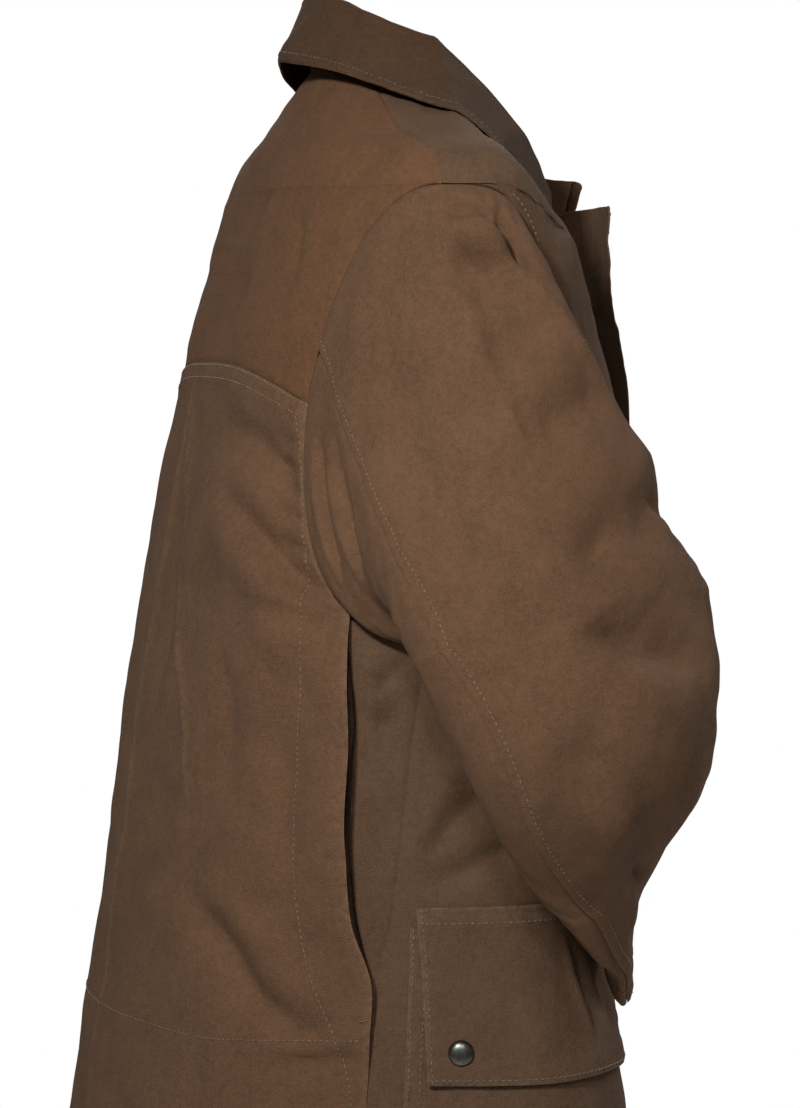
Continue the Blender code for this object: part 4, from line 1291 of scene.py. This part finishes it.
def make_snaps(metal):
    rings = len(SNAP_PROFILE)
    radius, high = np.array(SNAP_PROFILE).T[..., None]
    around = 2 * math.pi * np.arange(SNAP_SIDES) / SNAP_SIDES
    section = np.stack(np.broadcast_arrays(SNAP_RADIUS * radius * np.cos(around),
                                           SNAP_RADIUS * radius * np.sin(around), SNAP_CROWN * high), -1)
    index = np.arange(rings * SNAP_SIDES).reshape(rings, SNAP_SIDES)
    after = np.roll(index, -1, axis=1)
    faces = np.stack([index[:-1], index[1:], after[1:], after[:-1]], -1).reshape(-1, 4)
    for name, angle, level in SNAP_PLACES:
        across = flap_point(angle + 2.0, level) - flap_point(angle - 2.0, level)
        upward = flap_point(angle, level + 0.06) - flap_point(angle, level - 0.06)
        face = unit(np.cross(across, upward))
        for side, sign in (("right", 1.0), ("left", -1.0)):
            normal = face * (sign, 1.0, 1.0)
            place = flap_point(angle, level) * (sign, 1.0, 1.0) + normal * SNAP_LIFT
            turned = np.array(Vector(normal).to_track_quat("Z", "Y").to_matrix())
            points = place + section.reshape(-1, 3) @ turned.T
            mesh = new_mesh(f"cap_{side}_{name}", points, faces, metal, 60.0)
            finish_piece(f"cap_{side}_{name}", mesh, f"snap_{side}_{name}")


def make_jacket():
    canvas = canvas_material("canvas", EVEN_TINT)
    # The collar's canvas and thread are darkened copies: painted shade on the collar
    collar_shaded_canvas = canvas_material("canvas_painted_shade", COLLAR_SHADE_TINT)
    yoke_canvas = canvas_material("canvas_redder", YOKE_TINT)
    # Front canvas: greener, and darkened as painted shade
    front_shaded_canvas = canvas_material("canvas_greener_painted_shade", FRONT_GREEN_SHADE_TINT)
    thread = thread_material("thread", EVEN_TINT)
    collar_shaded_thread = thread_material("thread_painted_shade", COLLAR_THREAD_SHADE_TINT)
    show(back_panel(), "back_panel", canvas, thread)
    show(yoke_panel(), "back_yoke", yoke_canvas, thread)
    show(collar_panel(), "collar", collar_shaded_canvas, collar_shaded_thread)
    for side, flip in (("right", 1.0), ("left", -1.0)):
        show(gusset_panel(flip), "gusset_" + side, front_shaded_canvas, thread)
        show(front_panel(flip), "front_" + side, front_shaded_canvas, thread)
        for upper, part in ((True, "upper"), (False, "under")):
            node = f"sleeve_{side}_{part}"
            show(sleeve_panel(upper, flip), node, canvas, thread)
        show(pocket_panel(flip), "pocket_" + side, front_shaded_canvas, thread)
        show(flap_panel(flip), "flap_" + side, front_shaded_canvas, thread)
    make_snaps(snap_material())


def make_floor():
    size, height = FLOOR_HALF, CAD_BOX[0][2] - FLOOR_BELOW
    corners = [(-size, -size, height), (size, -size, height), (size, size, height), (-size, size, height)]
    mesh = bpy.data.meshes.new("floor")
    mesh.from_pydata(corners, [], [(0, 1, 2, 3)])
    paint = Paint("floor_paint")
    paint.set("Base Color", FLOOR_COLOUR)
    paint.set("Roughness", 0.9)
    mesh.materials.append(paint.material)
    floor = bpy.data.objects.new("floor", mesh)
    bpy.context.scene.collection.objects.link(floor)


def add_light(name, place, aim, size, power):
    data = bpy.data.lights.new(name, "AREA")
    data.shape = "DISK"
    data.size = size
    data.energy = power
    made = bpy.data.objects.new(name, data)
    made.location = place
    made.rotation_euler = (Vector(aim) - Vector(place)).to_track_quat("-Z", "Y").to_euler()
    bpy.context.scene.collection.objects.link(made)


def make_light():
    world = bpy.data.worlds.new("studio")
    world.use_nodes = True
    nodes, link = world.node_tree.nodes, world.node_tree.links.new
    dome = nodes["Background"]
    dome.inputs["Color"].default_value = DOME_COLOUR
    dome.inputs["Strength"].default_value = DOME_STRENGTH
    white = nodes.new("ShaderNodeBackground")
    white.inputs["Color"].default_value = WHITE
    white.inputs["Strength"].default_value = 1.0
    path, either = nodes.new("ShaderNodeLightPath"), nodes.new("ShaderNodeMixShader")
    link(path.outputs["Is Camera Ray"], either.inputs["Fac"])
    link(dome.outputs["Background"], either.inputs[1])
    link(white.outputs["Background"], either.inputs[2])
    link(either.outputs["Shader"], nodes["World Output"].inputs["Surface"])
    bpy.context.scene.world = world
    for name, place, aim, size, power in LIGHTS:
        add_light(name, place, (0.0, 0.0, aim), size, power)
    bpy.context.scene.view_settings.view_transform = "Standard"


def make_camera():
    behind, above = math.radians(VIEW_BEHIND), math.radians(VIEW_ABOVE)
    level = math.cos(above)
    away = Vector((-math.cos(behind) * level, math.sin(behind) * level, math.sin(above)))
    data = bpy.data.cameras.new("camera")
    data.sensor_fit = "VERTICAL"
    data.sensor_height = SENSOR
    data.lens = SENSOR * FOCAL_PIXELS / FRAME_HEIGHT
    made = bpy.data.objects.new("camera", data)
    made.location = Vector(VIEW_TARGET) + away * VIEW_FAR
    made.rotation_euler = (-away).to_track_quat("-Z", "Y").to_euler()
    bpy.context.scene.collection.objects.link(made)
    bpy.context.scene.camera = made


make_camera()
make_light()
make_floor()
make_jacket()

bpy.context.view_layer.update()
